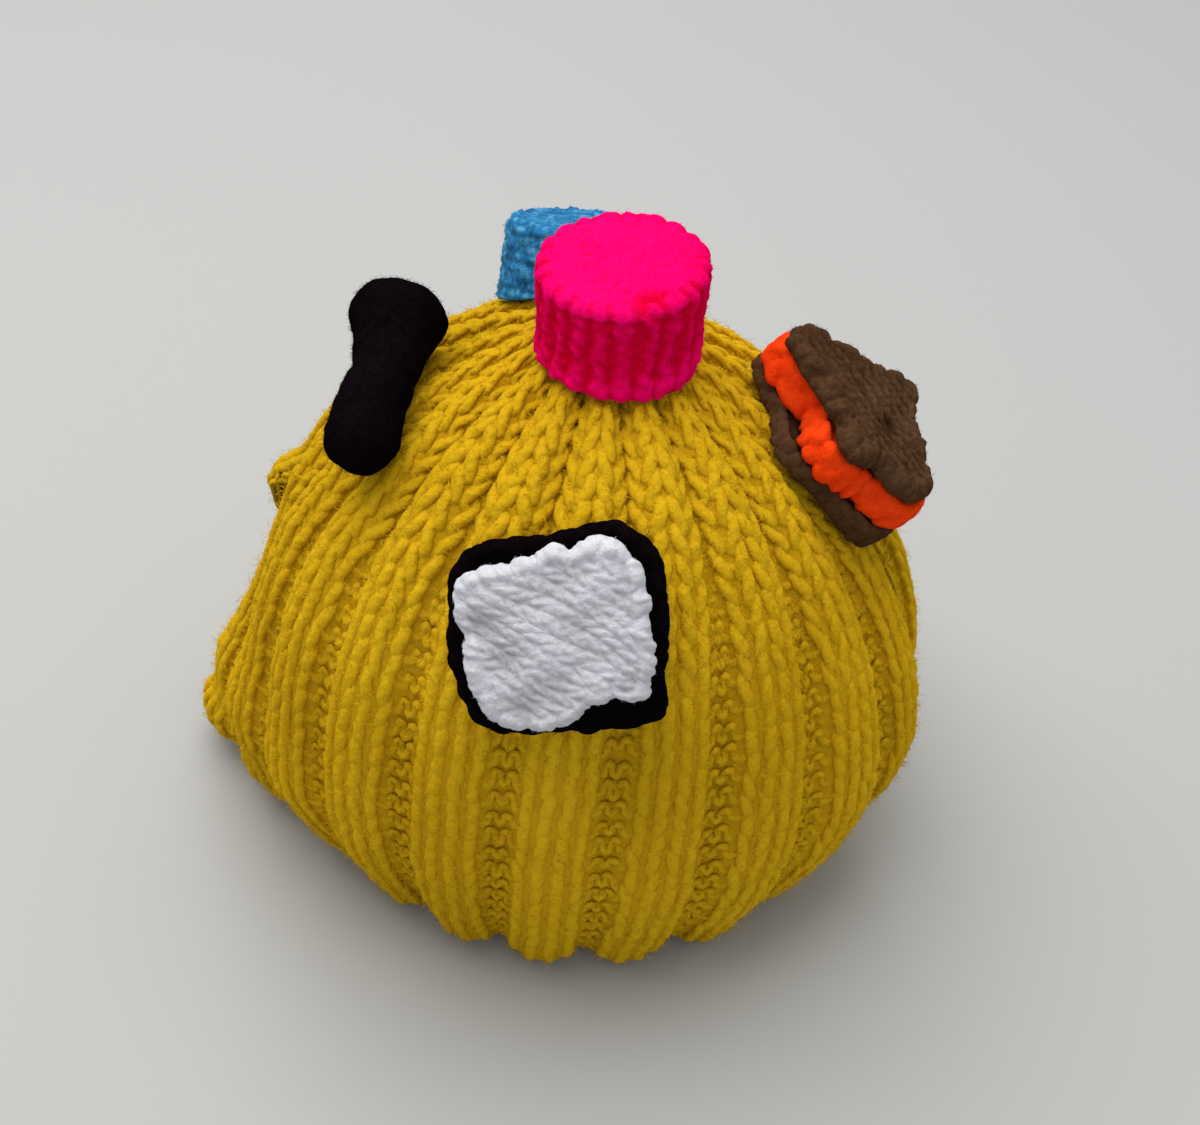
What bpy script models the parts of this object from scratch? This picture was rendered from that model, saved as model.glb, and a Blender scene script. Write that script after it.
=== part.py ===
"""A knitted tea cosy: two chunky ribbed panels, sewn together at the sides, and five knitted sweets.

Metres, +Z up. The hem stands on z = 0. -Y is the front, -X the left side with the wider slit, and +X
the right side with the narrower one. Angles run anticlockwise from +X, seen from above.
"""
import math

import bmesh
import bpy
import numpy as np

# ---- The body's outer shape: what the rib tops touch -------------------------------------
HEM_RADIUS = 0.0645
HEM_SWAY = 0.0012            # how far the hem stands out to the right
BELLY_RIGHT = 0.0835
BELLY_LEFT = 0.0788
BELLY_FRONT = 0.0748
BELLY_BACK = 0.0745
BELLY_HEIGHT = 0.0437
CROWN_HEIGHT = 0.1370
FULL_SIDE = 1.65             # how square the upper curve is: 2 is an ellipse, less is nearer a cone
FULL_FRONT = 2.60
FULL_BACK = 1.55
TUCK = 0.95                  # how fast the wall swells above the hem
CROWN_LEAN = 0.0054          # how far the crown leans to the right
TOP_RISE = 1.985             # where the gathered panels end, just short of the middle of the crown
AXIS_X = 0.0012              # the hem's middle, off the middle of the whole part's box
AXIS_Y = 0.0040

# The left seam stands out in a corner below its slit, and the cloth draws in above it
CORNER_OUT = 0.0198
CORNER_SPREAD = math.radians(27.7)
CORNER_HEIGHT = 0.0100
CORNER_TALL = 0.0105
PINCH_IN = 0.0056
PINCH_SPREAD = math.radians(38)
PINCH_HEIGHT = 0.0600
PINCH_TALL = 0.0257

# The foot is tucked in furthest between the left side and the front
FOOT_IN = 0.0075
FOOT_ANGLE = math.radians(-134)
FOOT_SPREAD = math.radians(50)
FOOT_TALL = 0.0398

# ---- The knitted cloth -------------------------------------------------------------------
REPEATS = 20                 # ribs round the cosy, each two knit and two purl stitches wide
ROWS = 16                    # rows of facets from hem to crown
CLOTH = 0.0034               # thickness of the cloth
GROOVE_DEPTH = 0.0025        # how deep a purl groove lies between two ribs
GROOVE_FADE = 0.020          # the grooves close within this distance of the crown's middle
HEM_SCALLOP = 0.0022         # how far a groove's end hangs above the rib ends
SCALLOP_TALL = 0.0050
RIB_SECTION = ((0.0, 1.0), (0.3, 0.2), (0.5, 0.0), (0.7, 0.2))   # place in the repeat, share of the depth
SEAM_GAP = 0.0003
SLIT_ROUND = 0.6             # how round the ends of a slit are: 1 is a sine, less is fuller
#        angle, low end, high end, half width
LEFT_SLIT = (math.pi, 0.0200, 0.0840, 0.0120)
RIGHT_SLIT = (0.0, 0.0220, 0.1000, 0.0085)

# ---- The sweets --------------------------------------------------------------------------
SETTLE_REACH = 0.030         # how far from its start a point's seat on the wall may lie
SETTLE_HALVINGS = 40
SEAT_GAP = 0.0003
LAYER_GAP = 0.0003
SQUARE_CELLS = 8             # facets across a square layer
SQUARE_POWER = 5.0           # power of the superellipse a square's outline follows
SQUARE_EDGE_LOSS = 0.75      # how much of a layer's thickness, squared, is rounded off at its edge
SQUARE_THINNEST = 0.15       # least share of its thickness that the lowest layer keeps

#        name, half across, half down, thickness
WHITE_LAYERS = (
    ("sweet_square_white_back", 0.0188, 0.0178, 0.0042),
    ("sweet_square_black", 0.0199, 0.0190, 0.0048),
    ("sweet_square_white_front", 0.0179, 0.0167, 0.0048),
)
BROWN_LAYERS = (
    ("sweet_square_brown_back", 0.0183, 0.0176, 0.0046),
    ("sweet_square_orange", 0.0192, 0.0190, 0.0080),
    ("sweet_square_brown_front", 0.0173, 0.0180, 0.0050),
)
#        angle, height, turn, tilt up, tilt sideways (degrees), share of the wall's curve the layers take
WHITE_SEAT = (-84.3, 0.1080, 14.0, 0.0, 0.0, 0.45)
BROWN_SEAT = (-2.0, 0.1113, 25.0, 6.0, 1.0, 0.30)

PINK_FOOT = (0.0102, -0.0082)
PINK_AXIS = (-0.065, -0.06, 1.0)
PINK_RADIUS = 0.0170
PINK_HEIGHT = 0.0188
PINK_RIBS = 16
PINK_RIB_DEPTH = 0.0006
BLUE_FOOT = (-0.0065, 0.0212)
BLUE_AXIS = (-0.15, 0.38, 0.92)
BLUE_RADIUS = 0.0135
BLUE_HEIGHT = 0.0135
BLUE_RIBS = 12
BLUE_RIB_DEPTH = 0.0003
DRUM_FACETS_A_RIB = 3
DRUM_EDGE = 0.0022           # rounding where a drum's side meets its top

ROLL_SIDES = 16
ROLL_STEPS = 14
#        rings of a rounded end: share of the roll's radius, and how far beyond its course in radii
ROLL_CAP = ((0.45, 0.80), (0.80, 0.52))
ROLL_TIP = 0.90              # how far the ends reach beyond the course, in radii
ROLL_TOP_FLAT = 0.80         # the upper end is flatter
#        angle (degrees) and height of the foot on the wall, radius of the roll there
ROLL_COURSE = (
    (-137.0, 0.1175, 0.0075),
    (-143.0, 0.1197, 0.0073),
    (-150.5, 0.1212, 0.0069),
    (-160.0, 0.1216, 0.0082),
    (-169.5, 0.1220, 0.0104),
)

#        linear red, green, blue and roughness
YELLOW = (0.520, 0.270, 0.006, 0.90)
PINK = (0.900, 0.005, 0.150, 0.85)
BLUE = (0.020, 0.140, 0.300, 0.80)
BLACK = (0.006, 0.004, 0.005, 0.90)
WHITE = (0.620, 0.610, 0.640, 0.90)
BROWN = (0.100, 0.060, 0.038, 0.90)
ORANGE = (0.900, 0.060, 0.006, 0.85)
COLOURS = {
    "cosy_front": YELLOW,
    "cosy_back": YELLOW,
    "sweet_drum_pink": PINK,
    "sweet_drum_blue": BLUE,
    "sweet_roll_black": BLACK,
    "sweet_square_white_back": WHITE,
    "sweet_square_black": BLACK,
    "sweet_square_white_front": WHITE,
    "sweet_square_brown_back": BROWN,
    "sweet_square_orange": ORANGE,
    "sweet_square_brown_front": BROWN,
}

UP = (0.0, 0.0, 1.0)
BACKWARDS = (0.0, 1.0, 0.0)


# ---- Shape of the wall -------------------------------------------------------------------
def belly_radius(cosine, sine):
    """An ellipse with a half width of its own on each of the four sides."""
    along_x = np.where(cosine > 0, BELLY_RIGHT, BELLY_LEFT)
    along_y = np.where(sine < 0, BELLY_FRONT, BELLY_BACK)
    return ((cosine / along_x) ** 2 + (sine / along_y) ** 2) ** -0.5


def fullness(cosine, sine):
    """Exponent of the upper curve, which is fuller at the front than at the sides."""
    return FULL_SIDE * cosine ** 2 + np.where(sine < 0, FULL_FRONT, FULL_BACK) * sine ** 2


def wall_radius(angle, height):
    """Distance of the rib tops from the axis: a tucked-in foot, and a superellipse above the belly."""
    cosine, sine = np.cos(angle), np.sin(angle)
    belly = belly_radius(cosine, sine)
    full = fullness(cosine, sine)
    low = np.clip(height / BELLY_HEIGHT, 0.0, 1.0)
    high = np.clip((height - BELLY_HEIGHT) / (CROWN_HEIGHT - BELLY_HEIGHT), 0.0, 1.0)
    hem = HEM_RADIUS + HEM_SWAY * cosine
    foot = hem + (belly - hem) * np.sin(low * math.pi / 2) ** TUCK
    crown = belly * (1.0 - high ** full) ** (1.0 / full)
    radius = np.where(height < BELLY_HEIGHT, foot, crown)
    off_left = math.pi - np.abs(np.arctan2(sine, cosine))
    corner = (off_left / CORNER_SPREAD) ** 2 + ((height - CORNER_HEIGHT) / CORNER_TALL) ** 2
    pinch = (off_left / PINCH_SPREAD) ** 2 + ((height - PINCH_HEIGHT) / PINCH_TALL) ** 2
    off_foot = np.abs(np.arctan2(np.sin(angle - FOOT_ANGLE), np.cos(angle - FOOT_ANGLE)))
    tucked = (off_foot / FOOT_SPREAD) ** 2 + (height / FOOT_TALL) ** 2
    return radius + CORNER_OUT * np.exp(-corner) - PINCH_IN * np.exp(-pinch) - FOOT_IN * np.exp(-tucked)


def wall_height(angle, rise):
    """Height for a rise of 0 at the hem, 1 at the belly and 2 in the middle of the crown."""
    full = fullness(np.cos(angle), np.sin(angle))
    up = np.sin(np.clip(rise - 1.0, 0.0, 1.0) * math.pi / 2) ** (2.0 / full)
    return np.where(rise < 1.0, BELLY_HEIGHT * rise, BELLY_HEIGHT + (CROWN_HEIGHT - BELLY_HEIGHT) * up)


def lean(height):
    """How far the axis has moved to the right at a height."""
    return CROWN_LEAN * (height / CROWN_HEIGHT) ** 2


def wall_point(angle, rise):
    """Point of the rib tops' surface."""
    height = wall_height(angle, rise)
    radius = wall_radius(angle, height)
    return np.stack([radius * np.cos(angle) + lean(height), radius * np.sin(angle), height], axis=-1)


def unit(vectors):
    """Vectors scaled to a length of one."""
    return vectors / np.linalg.norm(vectors, axis=-1, keepdims=True)


def wall_normal(angle, rise):
    """Outward normal, from two small steps along the surface."""
    step = 1e-4
    around = wall_point(angle + step, rise) - wall_point(angle - step, rise)
    upward = wall_point(angle, rise + step) - wall_point(angle, rise - step)
    return unit(np.cross(around, upward))


def off_wall(points):
    """About how far points lie outside the rib tops' surface."""
    x = points[..., 0] - lean(points[..., 2])
    y = points[..., 1]
    above = np.clip(points[..., 2] - CROWN_HEIGHT, 0.0, None)
    return np.hypot(x, y) + above - wall_radius(np.arctan2(y, x), points[..., 2])


def settle(points, direction):
    """Points moved along a direction onto the wall, found by halving the distance."""
    direction = unit(np.asarray(direction, dtype=float))
    outer = np.full(points.shape[:-1], SETTLE_REACH)
    inner = np.full(points.shape[:-1], -SETTLE_REACH)
    for _ in range(SETTLE_HALVINGS):
        middle = (outer + inner) / 2
        outside = off_wall(points + middle[..., None] * direction) > 0
        outer = np.where(outside, middle, outer)
        inner = np.where(outside, inner, middle)
    return points + outer[..., None] * direction


def wall_seat(angle, height):
    """Point, outward normal, level tangent and upward tangent of the wall at an angle and height."""
    rises = np.linspace(0.0, TOP_RISE, 2000)
    angles = np.full_like(rises, angle)
    rise = np.interp(height, wall_height(angles, rises), rises)
    point = wall_point(np.array(angle), np.array(rise))
    normal = wall_normal(np.array(angle), np.array(rise))
    level = unit(np.array([-normal[1], normal[0], 0.0]))
    return point, normal, level, np.cross(normal, level)


# ---- Mesh helpers ------------------------------------------------------------------------
def material(name, colour):
    """Plain wool: a Principled BSDF with the yarn's colour and roughness."""
    wool = bpy.data.materials.new(name + "_wool")
    wool.use_nodes = True
    shader = wool.node_tree.nodes["Principled BSDF"]
    shader.inputs["Base Color"].default_value = (*colour[:3], 1.0)
    shader.inputs["Roughness"].default_value = colour[3]
    shader.inputs["Metallic"].default_value = 0.0
    return wool


def add_solid(name, vertices, faces):
    """One closed, triangulated object, moved from the cosy's axis to the frame's origin."""
    placed = np.asarray(vertices, dtype=float) + np.array([AXIS_X, AXIS_Y, 0.0])
    mesh = bpy.data.meshes.new(name)
    mesh.from_pydata([tuple(point) for point in placed], [], faces)
    work = bmesh.new()
    work.from_mesh(mesh)
    bmesh.ops.triangulate(work, faces=work.faces[:])
    bmesh.ops.recalc_face_normals(work, faces=work.faces[:])
    work.to_mesh(mesh)
    work.free()
    mesh.shade_smooth()
    mesh.set_sharp_from_angle(angle=math.radians(50))
    solid = bpy.data.objects.new(name, mesh)
    solid.data.materials.append(material(name, COLOURS[name]))
    bpy.context.scene.collection.objects.link(solid)
    return solid


def skin_solid(name, outer, inner):
    """A solid between two grids of points that share their rim."""
    rows, columns = outer.shape[:2]
    count = rows * columns
    faces = []

    def at(row, column):
        return row * columns + column

    for row in range(rows - 1):
        for column in range(columns - 1):
            quad = (at(row, column), at(row, column + 1), at(row + 1, column + 1), at(row + 1, column))
            faces.append(quad)
            faces.append(tuple(count + index for index in reversed(quad)))
    rim = [at(0, column) for column in range(columns)]
    rim += [at(row, columns - 1) for row in range(1, rows)]
    rim += [at(rows - 1, column) for column in range(columns - 2, -1, -1)]
    rim += [at(row, 0) for row in range(rows - 2, 0, -1)]
    for here, there in zip(rim, rim[1:] + rim[:1]):
        faces.append((there, here, count + here, count + there))
    return add_solid(name, np.concatenate([outer.reshape(-1, 3), inner.reshape(-1, 3)]), faces)


def ring_solid(name, rings, first_pole, last_pole):
    """A solid through closed rings of points, with a pole at either end."""
    steps, sides = rings.shape[:2]
    vertices = np.concatenate([rings.reshape(-1, 3), [first_pole], [last_pole]])
    faces = []
    for side in range(sides):
        after = (side + 1) % sides
        for step in range(steps - 1):
            low = step * sides
            faces.append((low + side, low + after, low + sides + after, low + sides + side))
        faces.append((after, side, steps * sides))
        last = (steps - 1) * sides
        faces.append((last + side, last + after, steps * sides + 1))
    return add_solid(name, vertices, faces)


# ---- The two panels ----------------------------------------------------------------------
def slit_half_width(height, slit):
    """Half the seam's gap, opened to a rounded lens along the slit."""
    _, low, high, half_width = slit
    along = np.clip((height - low) / (high - low), 0.0, 1.0)
    return SEAM_GAP / 2 + half_width * np.sin(math.pi * along) ** SLIT_ROUND


def rib_section(repeats):
    """Places across a panel, in repeats, and the share of the groove's depth at each."""
    places = []
    shares = []
    for repeat in range(repeats):
        for place, share in RIB_SECTION:
            places.append(repeat + place)
            shares.append(share)
    places.append(float(repeats))
    shares.append(RIB_SECTION[0][1])
    return np.array(places), np.array(shares)


def even_rises(angle):
    """Rises that split the wall at an angle into rows of equal length."""
    fine = np.linspace(0.0, TOP_RISE, 400)
    points = wall_point(np.full_like(fine, angle), fine)
    length = np.concatenate([[0.0], np.cumsum(np.linalg.norm(np.diff(points, axis=0), axis=1))])
    return np.interp(np.linspace(0.0, length[-1], ROWS + 1), length, fine)


def open_slits(nominal, height, radius, start, start_slit, end_slit):
    """Column angles with the first and last repeat squeezed together to open the slits."""
    repeat = 2 * math.pi / REPEATS
    end = start + math.pi
    from_start = np.arcsin(np.clip(slit_half_width(height, start_slit) / radius, 0.0, 0.5))
    from_end = np.arcsin(np.clip(slit_half_width(height, end_slit) / radius, 0.0, 0.5))
    near_start = np.clip(1.0 - (nominal - start) / repeat, 0.0, 1.0)
    near_end = np.clip(1.0 - (end - nominal) / repeat, 0.0, 1.0)
    return nominal + near_start * from_start - near_end * from_end


def panel(name, start, start_slit, end_slit):
    """Half of the cosy, from one side seam to the other: a corrugated skin, open below."""
    places, shares = rib_section(REPEATS // 2)
    columns = start + places * 2 * math.pi / REPEATS
    rises = np.stack([even_rises(angle) for angle in columns], axis=1)
    nominal = np.broadcast_to(columns, rises.shape)
    height = wall_height(nominal, rises)
    radius = wall_radius(nominal, height)
    angle = open_slits(nominal, height, radius, start, start_slit, end_slit)
    tops = wall_point(angle, rises)
    normal = wall_normal(angle, rises)
    depth = GROOVE_DEPTH * shares * np.clip(radius / GROOVE_FADE, 0.0, 1.0)
    outer = tops - normal * depth[..., None]
    inner = outer - normal * CLOTH
    scallop = np.clip(shares - RIB_SECTION[1][1], 0.0, 1.0) / (1.0 - RIB_SECTION[1][1])
    lift = HEM_SCALLOP * scallop * np.exp(-height / SCALLOP_TALL)
    outer[..., 2] = np.clip(outer[..., 2] + lift, 0.0, None)
    outer[0, :, 2] = HEM_SCALLOP * scallop
    inner[0, :, 2] = outer[0, :, 2]
    inner[1:, :, 2] += lift[1:]
    return skin_solid(name, outer, inner)


# ---- The sweets --------------------------------------------------------------------------
def square_layers(layers, seat):
    """Knitted squares laid on each other, the lowest one shaped to the wall beneath."""
    angle, height, turn, tilt_up, tilt_side, bend = seat
    foot, normal, level, upward = wall_seat(math.radians(angle), height)
    tip_up, tip_side = math.tan(math.radians(tilt_up)), math.tan(math.radians(tilt_side))
    normal = unit(normal + upward * tip_up + level * tip_side)
    level = unit(level - normal * np.dot(level, normal))
    upward = np.cross(normal, level)
    turn = math.radians(turn)
    across = level * math.cos(turn) + upward * math.sin(turn)
    down = level * math.sin(turn) - upward * math.cos(turn)
    side = np.linspace(-1.0, 1.0, SQUARE_CELLS + 1)
    s, t = np.meshgrid(side, side, indexing="ij")
    edge = np.maximum(np.abs(s), np.abs(t))
    power_sum = (np.abs(s) ** SQUARE_POWER + np.abs(t) ** SQUARE_POWER) ** (1.0 / SQUARE_POWER)
    draw_in = edge / np.maximum(power_sum, 1e-9)
    round_s = s * draw_in
    round_t = t * draw_in
    full = np.sqrt(1.0 - SQUARE_EDGE_LOSS * edge ** 6)
    base = 0.0
    for order, (name, half_across, half_down, thickness) in enumerate(layers):
        flat = foot + (round_s * half_across)[..., None] * across + (round_t * half_down)[..., None] * down
        seated = settle(flat, normal)
        droop = (seated - flat) @ normal
        even_droop = (droop + droop[::-1, ::-1]) / 2
        middle = base + thickness / 2 + bend * even_droop
        half = (thickness - LAYER_GAP) / 2 * full
        top = middle + half
        bottom = middle - half
        if order == 0:
            bottom = np.minimum(droop + SEAT_GAP, top - thickness * SQUARE_THINNEST)
        outer = flat + top[..., None] * normal
        inner = flat + bottom[..., None] * normal
        skin_solid(name, outer, inner)
        base += thickness


def drum(name, foot, axis, radius, height, ribs, rib_depth):
    """A short ribbed cylinder with a rounded edge, its underside shaped to the crown."""
    axis = unit(np.array(axis))
    sideways = unit(np.cross(BACKWARDS, axis))
    forward = np.cross(axis, sideways)
    around = np.arange(ribs * DRUM_FACETS_A_RIB) * 2 * math.pi / (ribs * DRUM_FACETS_A_RIB)
    wave = rib_depth * np.cos(ribs * around)
    spoke = np.cos(around)[:, None] * sideways + np.sin(around)[:, None] * forward
    start = settle(np.array([foot[0], foot[1], CROWN_HEIGHT]), axis)
    shrink = DRUM_EDGE * (1 - math.sqrt(0.5))
    side = ((0.5, None), (1.0, None), (1.0, 0.5 * height), (1.0, height - DRUM_EDGE))
    rings = []
    for share, level in side:
        ring = start + spoke * ((radius + wave) * share)[:, None]
        if level is None:
            ring = settle(ring, axis) + SEAT_GAP * axis
        else:
            ring = ring + level * axis
        rings.append(ring)
    rings.append(start + spoke * (radius + wave - shrink)[:, None] + (height - shrink) * axis)
    rings.append(start + spoke * (radius + wave - DRUM_EDGE)[:, None] + height * axis)
    rings.append(start + spoke * (radius / 2) + height * axis)
    return ring_solid(name, np.array(rings), start + SEAT_GAP * axis, start + height * axis)


def smooth_course(values, steps):
    """A smooth curve through a few equally spaced rows, by repeated linear blending (Catmull-Rom)."""
    values = np.asarray(values, dtype=float)
    padded = np.concatenate([[2 * values[0] - values[1]], values, [2 * values[-1] - values[-2]]])
    spans = len(values) - 1
    rows = []
    for place in np.linspace(0.0, spans, steps):
        span = min(int(place), spans - 1)
        t = place - span
        a, b, c, d = padded[span:span + 4]
        rows.append(b + t * (c - a) / 2 + t * t * (a - 2.5 * b + 2 * c - d / 2)
                    + t ** 3 * (1.5 * b - 1.5 * c + d / 2 - a / 2))
    return np.array(rows)


def roll(name):
    """A stout knitted roll lying on the left shoulder, thicker at its upper end."""
    feet = []
    for angle, height, radius in ROLL_COURSE:
        point, normal, _, _ = wall_seat(math.radians(angle), height)
        feet.append([*(point + normal * (radius + SEAT_GAP)), radius])
    course = smooth_course(feet, ROLL_STEPS)
    middle, radius = course[:, :3], course[:, 3]
    along = unit(np.gradient(middle, axis=0))
    across = unit(np.cross(along, UP))
    upward = np.cross(across, along)
    around = np.arange(ROLL_SIDES) * 2 * math.pi / ROLL_SIDES
    rings = []

    def add_ring(row, share, reach):
        spoke = np.cos(around)[:, None] * across[row] + np.sin(around)[:, None] * upward[row]
        rings.append(middle[row] + along[row] * reach + spoke * radius[row] * share)

    for share, reach in ROLL_CAP:
        add_ring(0, share, -radius[0] * reach)
    for row in range(ROLL_STEPS):
        add_ring(row, 1.0, 0.0)
    for share, reach in reversed(ROLL_CAP):
        add_ring(-1, share, radius[-1] * reach * ROLL_TOP_FLAT)
    first = middle[0] - along[0] * radius[0] * ROLL_TIP
    last = middle[-1] + along[-1] * radius[-1] * ROLL_TIP * ROLL_TOP_FLAT
    return ring_solid(name, np.array(rings), first, last)


def clear_scene():
    """Remove what a new scene holds."""
    for leftover in list(bpy.data.objects):
        bpy.data.objects.remove(leftover, do_unlink=True)


def build():
    """The whole cosy."""
    clear_scene()
    panel("cosy_front", -math.pi, LEFT_SLIT, RIGHT_SLIT)
    panel("cosy_back", 0.0, RIGHT_SLIT, LEFT_SLIT)
    square_layers(WHITE_LAYERS, WHITE_SEAT)
    square_layers(BROWN_LAYERS, BROWN_SEAT)
    drum("sweet_drum_pink", PINK_FOOT, PINK_AXIS, PINK_RADIUS, PINK_HEIGHT, PINK_RIBS, PINK_RIB_DEPTH)
    drum("sweet_drum_blue", BLUE_FOOT, BLUE_AXIS, BLUE_RADIUS, BLUE_HEIGHT, BLUE_RIBS, BLUE_RIB_DEPTH)
    roll("sweet_roll_black")


build()
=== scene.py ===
"""Looks of a knitted tea cosy: ribbed yellow yarn on two panels, and five knitted sweets on the crown.

Metres, +Z up. -Y is the front, -X the left side, +X the right side. Angles run anticlockwise from +X.
The wall's shape is the same as the solids', so that every stitch lies in the place of its panel.
"""
import math

import bpy
import numpy as np
from mathutils import Matrix


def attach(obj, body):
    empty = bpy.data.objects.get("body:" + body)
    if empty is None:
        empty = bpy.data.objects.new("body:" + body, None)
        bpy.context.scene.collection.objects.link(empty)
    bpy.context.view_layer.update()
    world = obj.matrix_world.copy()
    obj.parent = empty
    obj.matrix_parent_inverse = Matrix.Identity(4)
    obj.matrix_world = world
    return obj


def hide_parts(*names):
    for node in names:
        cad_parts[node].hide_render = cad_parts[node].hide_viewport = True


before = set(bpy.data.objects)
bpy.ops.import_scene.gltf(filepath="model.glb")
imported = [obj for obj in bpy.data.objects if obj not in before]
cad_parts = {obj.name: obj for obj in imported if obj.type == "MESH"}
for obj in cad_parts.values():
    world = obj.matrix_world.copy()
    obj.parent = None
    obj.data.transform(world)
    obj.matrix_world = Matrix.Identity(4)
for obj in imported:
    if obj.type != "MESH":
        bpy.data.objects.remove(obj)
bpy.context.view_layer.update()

# ---- The wall: the same sizes as the solids ------------------------------------------------
HEM_RADIUS = 0.0645
HEM_SWAY = 0.0012            # how far the hem stands out to the right
BELLY_RIGHT = 0.0835
BELLY_LEFT = 0.0788
BELLY_FRONT = 0.0748
BELLY_BACK = 0.0745
BELLY_HEIGHT = 0.0437
CROWN_HEIGHT = 0.1370
FULL_SIDE = 1.65             # how square the upper curve is: 2 is an ellipse, less is nearer a cone
FULL_FRONT = 2.60
FULL_BACK = 1.55
TUCK = 0.95                  # how fast the wall swells above the hem
CROWN_LEAN = 0.0054          # how far the crown leans to the right
TOP_RISE = 1.985             # where the gathered panels end, just short of the middle of the crown
AXIS = np.array([0.0012, 0.0040, 0.0])           # the hem's middle, off the middle of the whole part's box

# The left seam stands out in a corner below its slit, and the cloth draws in above it
CORNER_OUT = 0.0198
CORNER_SPREAD = math.radians(27.7)
CORNER_HEIGHT = 0.0100
CORNER_TALL = 0.0105
PINCH_IN = 0.0056
PINCH_SPREAD = math.radians(38)
PINCH_HEIGHT = 0.0600
PINCH_TALL = 0.0257

# The foot is tucked in furthest between the left side and the front
FOOT_IN = 0.0075
FOOT_ANGLE = math.radians(-134)
FOOT_SPREAD = math.radians(50)
FOOT_TALL = 0.0398

REPEATS = 20                 # ribs round the cosy, each two knit and two purl stitches wide
GROOVE_FADE = 0.020          # the grooves close within this distance of the crown's middle
HEM_SCALLOP = 0.0022         # how far a groove's end hangs above the rib ends
SCALLOP_TALL = 0.0050
SEAM_GAP = 0.0003
SLIT_ROUND = 0.6             # how round the ends of a slit are: 1 is a sine, less is fuller
#        angle, low end, high end, half width
LEFT_SLIT = (math.pi, 0.0200, 0.0840, 0.0120)
RIGHT_SLIT = (0.0, 0.0220, 0.1000, 0.0085)

# Working values of the wall's functions
UP = np.array([0.0, 0.0, 1.0])
BACKWARD = np.array([0.0, 1.0, 0.0])
CLIMB_ANGLES = 361           # directions in the table of the wall's lengths
CLIMB_SHARES = 400           # and equal shares of a length in it
CLIMB_POINTS = 700           # points along the wall that a length is measured with
SEAT_POINTS = 2000           # and that a seat's height is looked up in
SETTLE_REACH = 0.030         # farthest that a point is moved to settle on the wall
SETTLE_ROUNDS = 40           # times that the distance is halved

# ---- The knitting --------------------------------------------------------------------------
COURSES = 30                 # rows of stitches from hem to crown
COURSES_TO_TOP = 31.5        # the wall's whole length, counted in rows
PURL_COURSES = 25            # above these the purl stitches have been decreased away
KNIT_WIDTH = 0.0080          # one knit stitch at the belly
PURL_LEAST = 0.05            # least share of a repeat that two purl stitches keep
LOOP_REACH = 0.80            # how far a loop reaches above and below its row, in rows
FIRST_ROW = 1.08             # the first row's height above the hem, in rows
YARN_RADIUS = 0.00150        # at the most, half across a strand
YARN_FLAT = 0.68             # thickness of a strand outward over its width
YARN_LEAST = 0.00106         # radius where the stitches are drawn together at the crown
YARN_LOW = 0.207             # radius over the width of a knit stitch at the belly
YARN_HIGH = 0.240            # and at the crown, where holes show between the legs
PURL_THIN = 0.62             # purl loops look this much thinner than knit legs
RIB_GROOVE = 0.0032          # depth of the purl grooves between the strands
CLOTH_LOW = 0.00095          # how far the cloth between the strands is filled, at the belly
CLOTH_HIGH = 0.00030         # and at the crown
CLOTH_PURL = 0.00010         # and in the purl grooves
CLOTH_FOOT = 0.45            # the cloth's lowest row
CLOTH_ROWS = 50              # points of the cloth from hem to crown
CLOTH_STEPS = 16             # points of the cloth across one repeat
GROOVE_ROUND = 1.9           # how narrow the grooves are: 1 is a plain cosine
LEG_STEEP = 4.0              # how long a loop's legs stay in front at the belly: 2 is a plain sine
LEG_SINE = 2.0               # the same for purl loops and at the crown
LEAN_EVEN = 0.25             # how much tighter a loop's foot is than its head
LEG_OUT = 0.00090            # how far a loop's legs stand in front of the middle of the cloth
LEG_CALM = 0.3               # the share of that which is lost at the crown
OMEGA_LOW = 0.13             # how far a loop narrows at its foot, in stitch widths, at the belly
OMEGA_HIGH = 0.24            # and at the crown, where the stitches lie open
DRAW_FROM = 0.45             # share of the rows at which the stitches begin to draw together
DRAW_OVER = 0.35             # and the share over which they do
TURN_OVER = 0.22             # share of a stitch in which the yarn passes between knit and purl
PURL_SINK = 0.0012           # how far the purl stitches sink in where the knit ones close over them
CLOSE_AT = 0.93              # share of a repeat with which the knit stitches have closed over the purl ones
CLOSE_OVER = 0.16            # and how much of it they take to do so
TUFT_UNEVEN = 0.045          # unevenness of the spun yarn's surface, as a share of its radius
SAMPLES = 14                 # points along the yarn in one stitch
YARN_SIDES = 6
#        unevenness of the hand's work, as the mean and spread of what each stitch adds: along the row in
#        stitches, up in rows, outward in metres, and the yarn's radius as a share of the even one
UNEVEN = ((0.0, 0.070), (0.0, 0.08), (0.0, 0.00012), (1.0, 0.05))
#        the slits' edges stand out or in: height, how tall, how far, and spread in degrees, for each lip
LIPS = {
    ("front", "left"): ((0.0310, 0.0155, 0.0078, 38.0), (0.0735, 0.0095, -0.0012, 17.0)),
    ("back", "left"): ((0.0270, 0.0130, 0.0050, 30.0), (0.0640, 0.0092, 0.0118, 17.0)),
    ("front", "right"): ((0.0650, 0.0350, 0.0030, 22.0),),
    ("back", "right"): ((0.0650, 0.0350, 0.0004, 22.0),),
}


# ---- Shape of the wall ---------------------------------------------------------------------
def unit(vectors):
    """Vectors scaled to a length of one."""
    return vectors / np.maximum(np.linalg.norm(vectors, axis=-1, keepdims=True), 1e-12)


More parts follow.
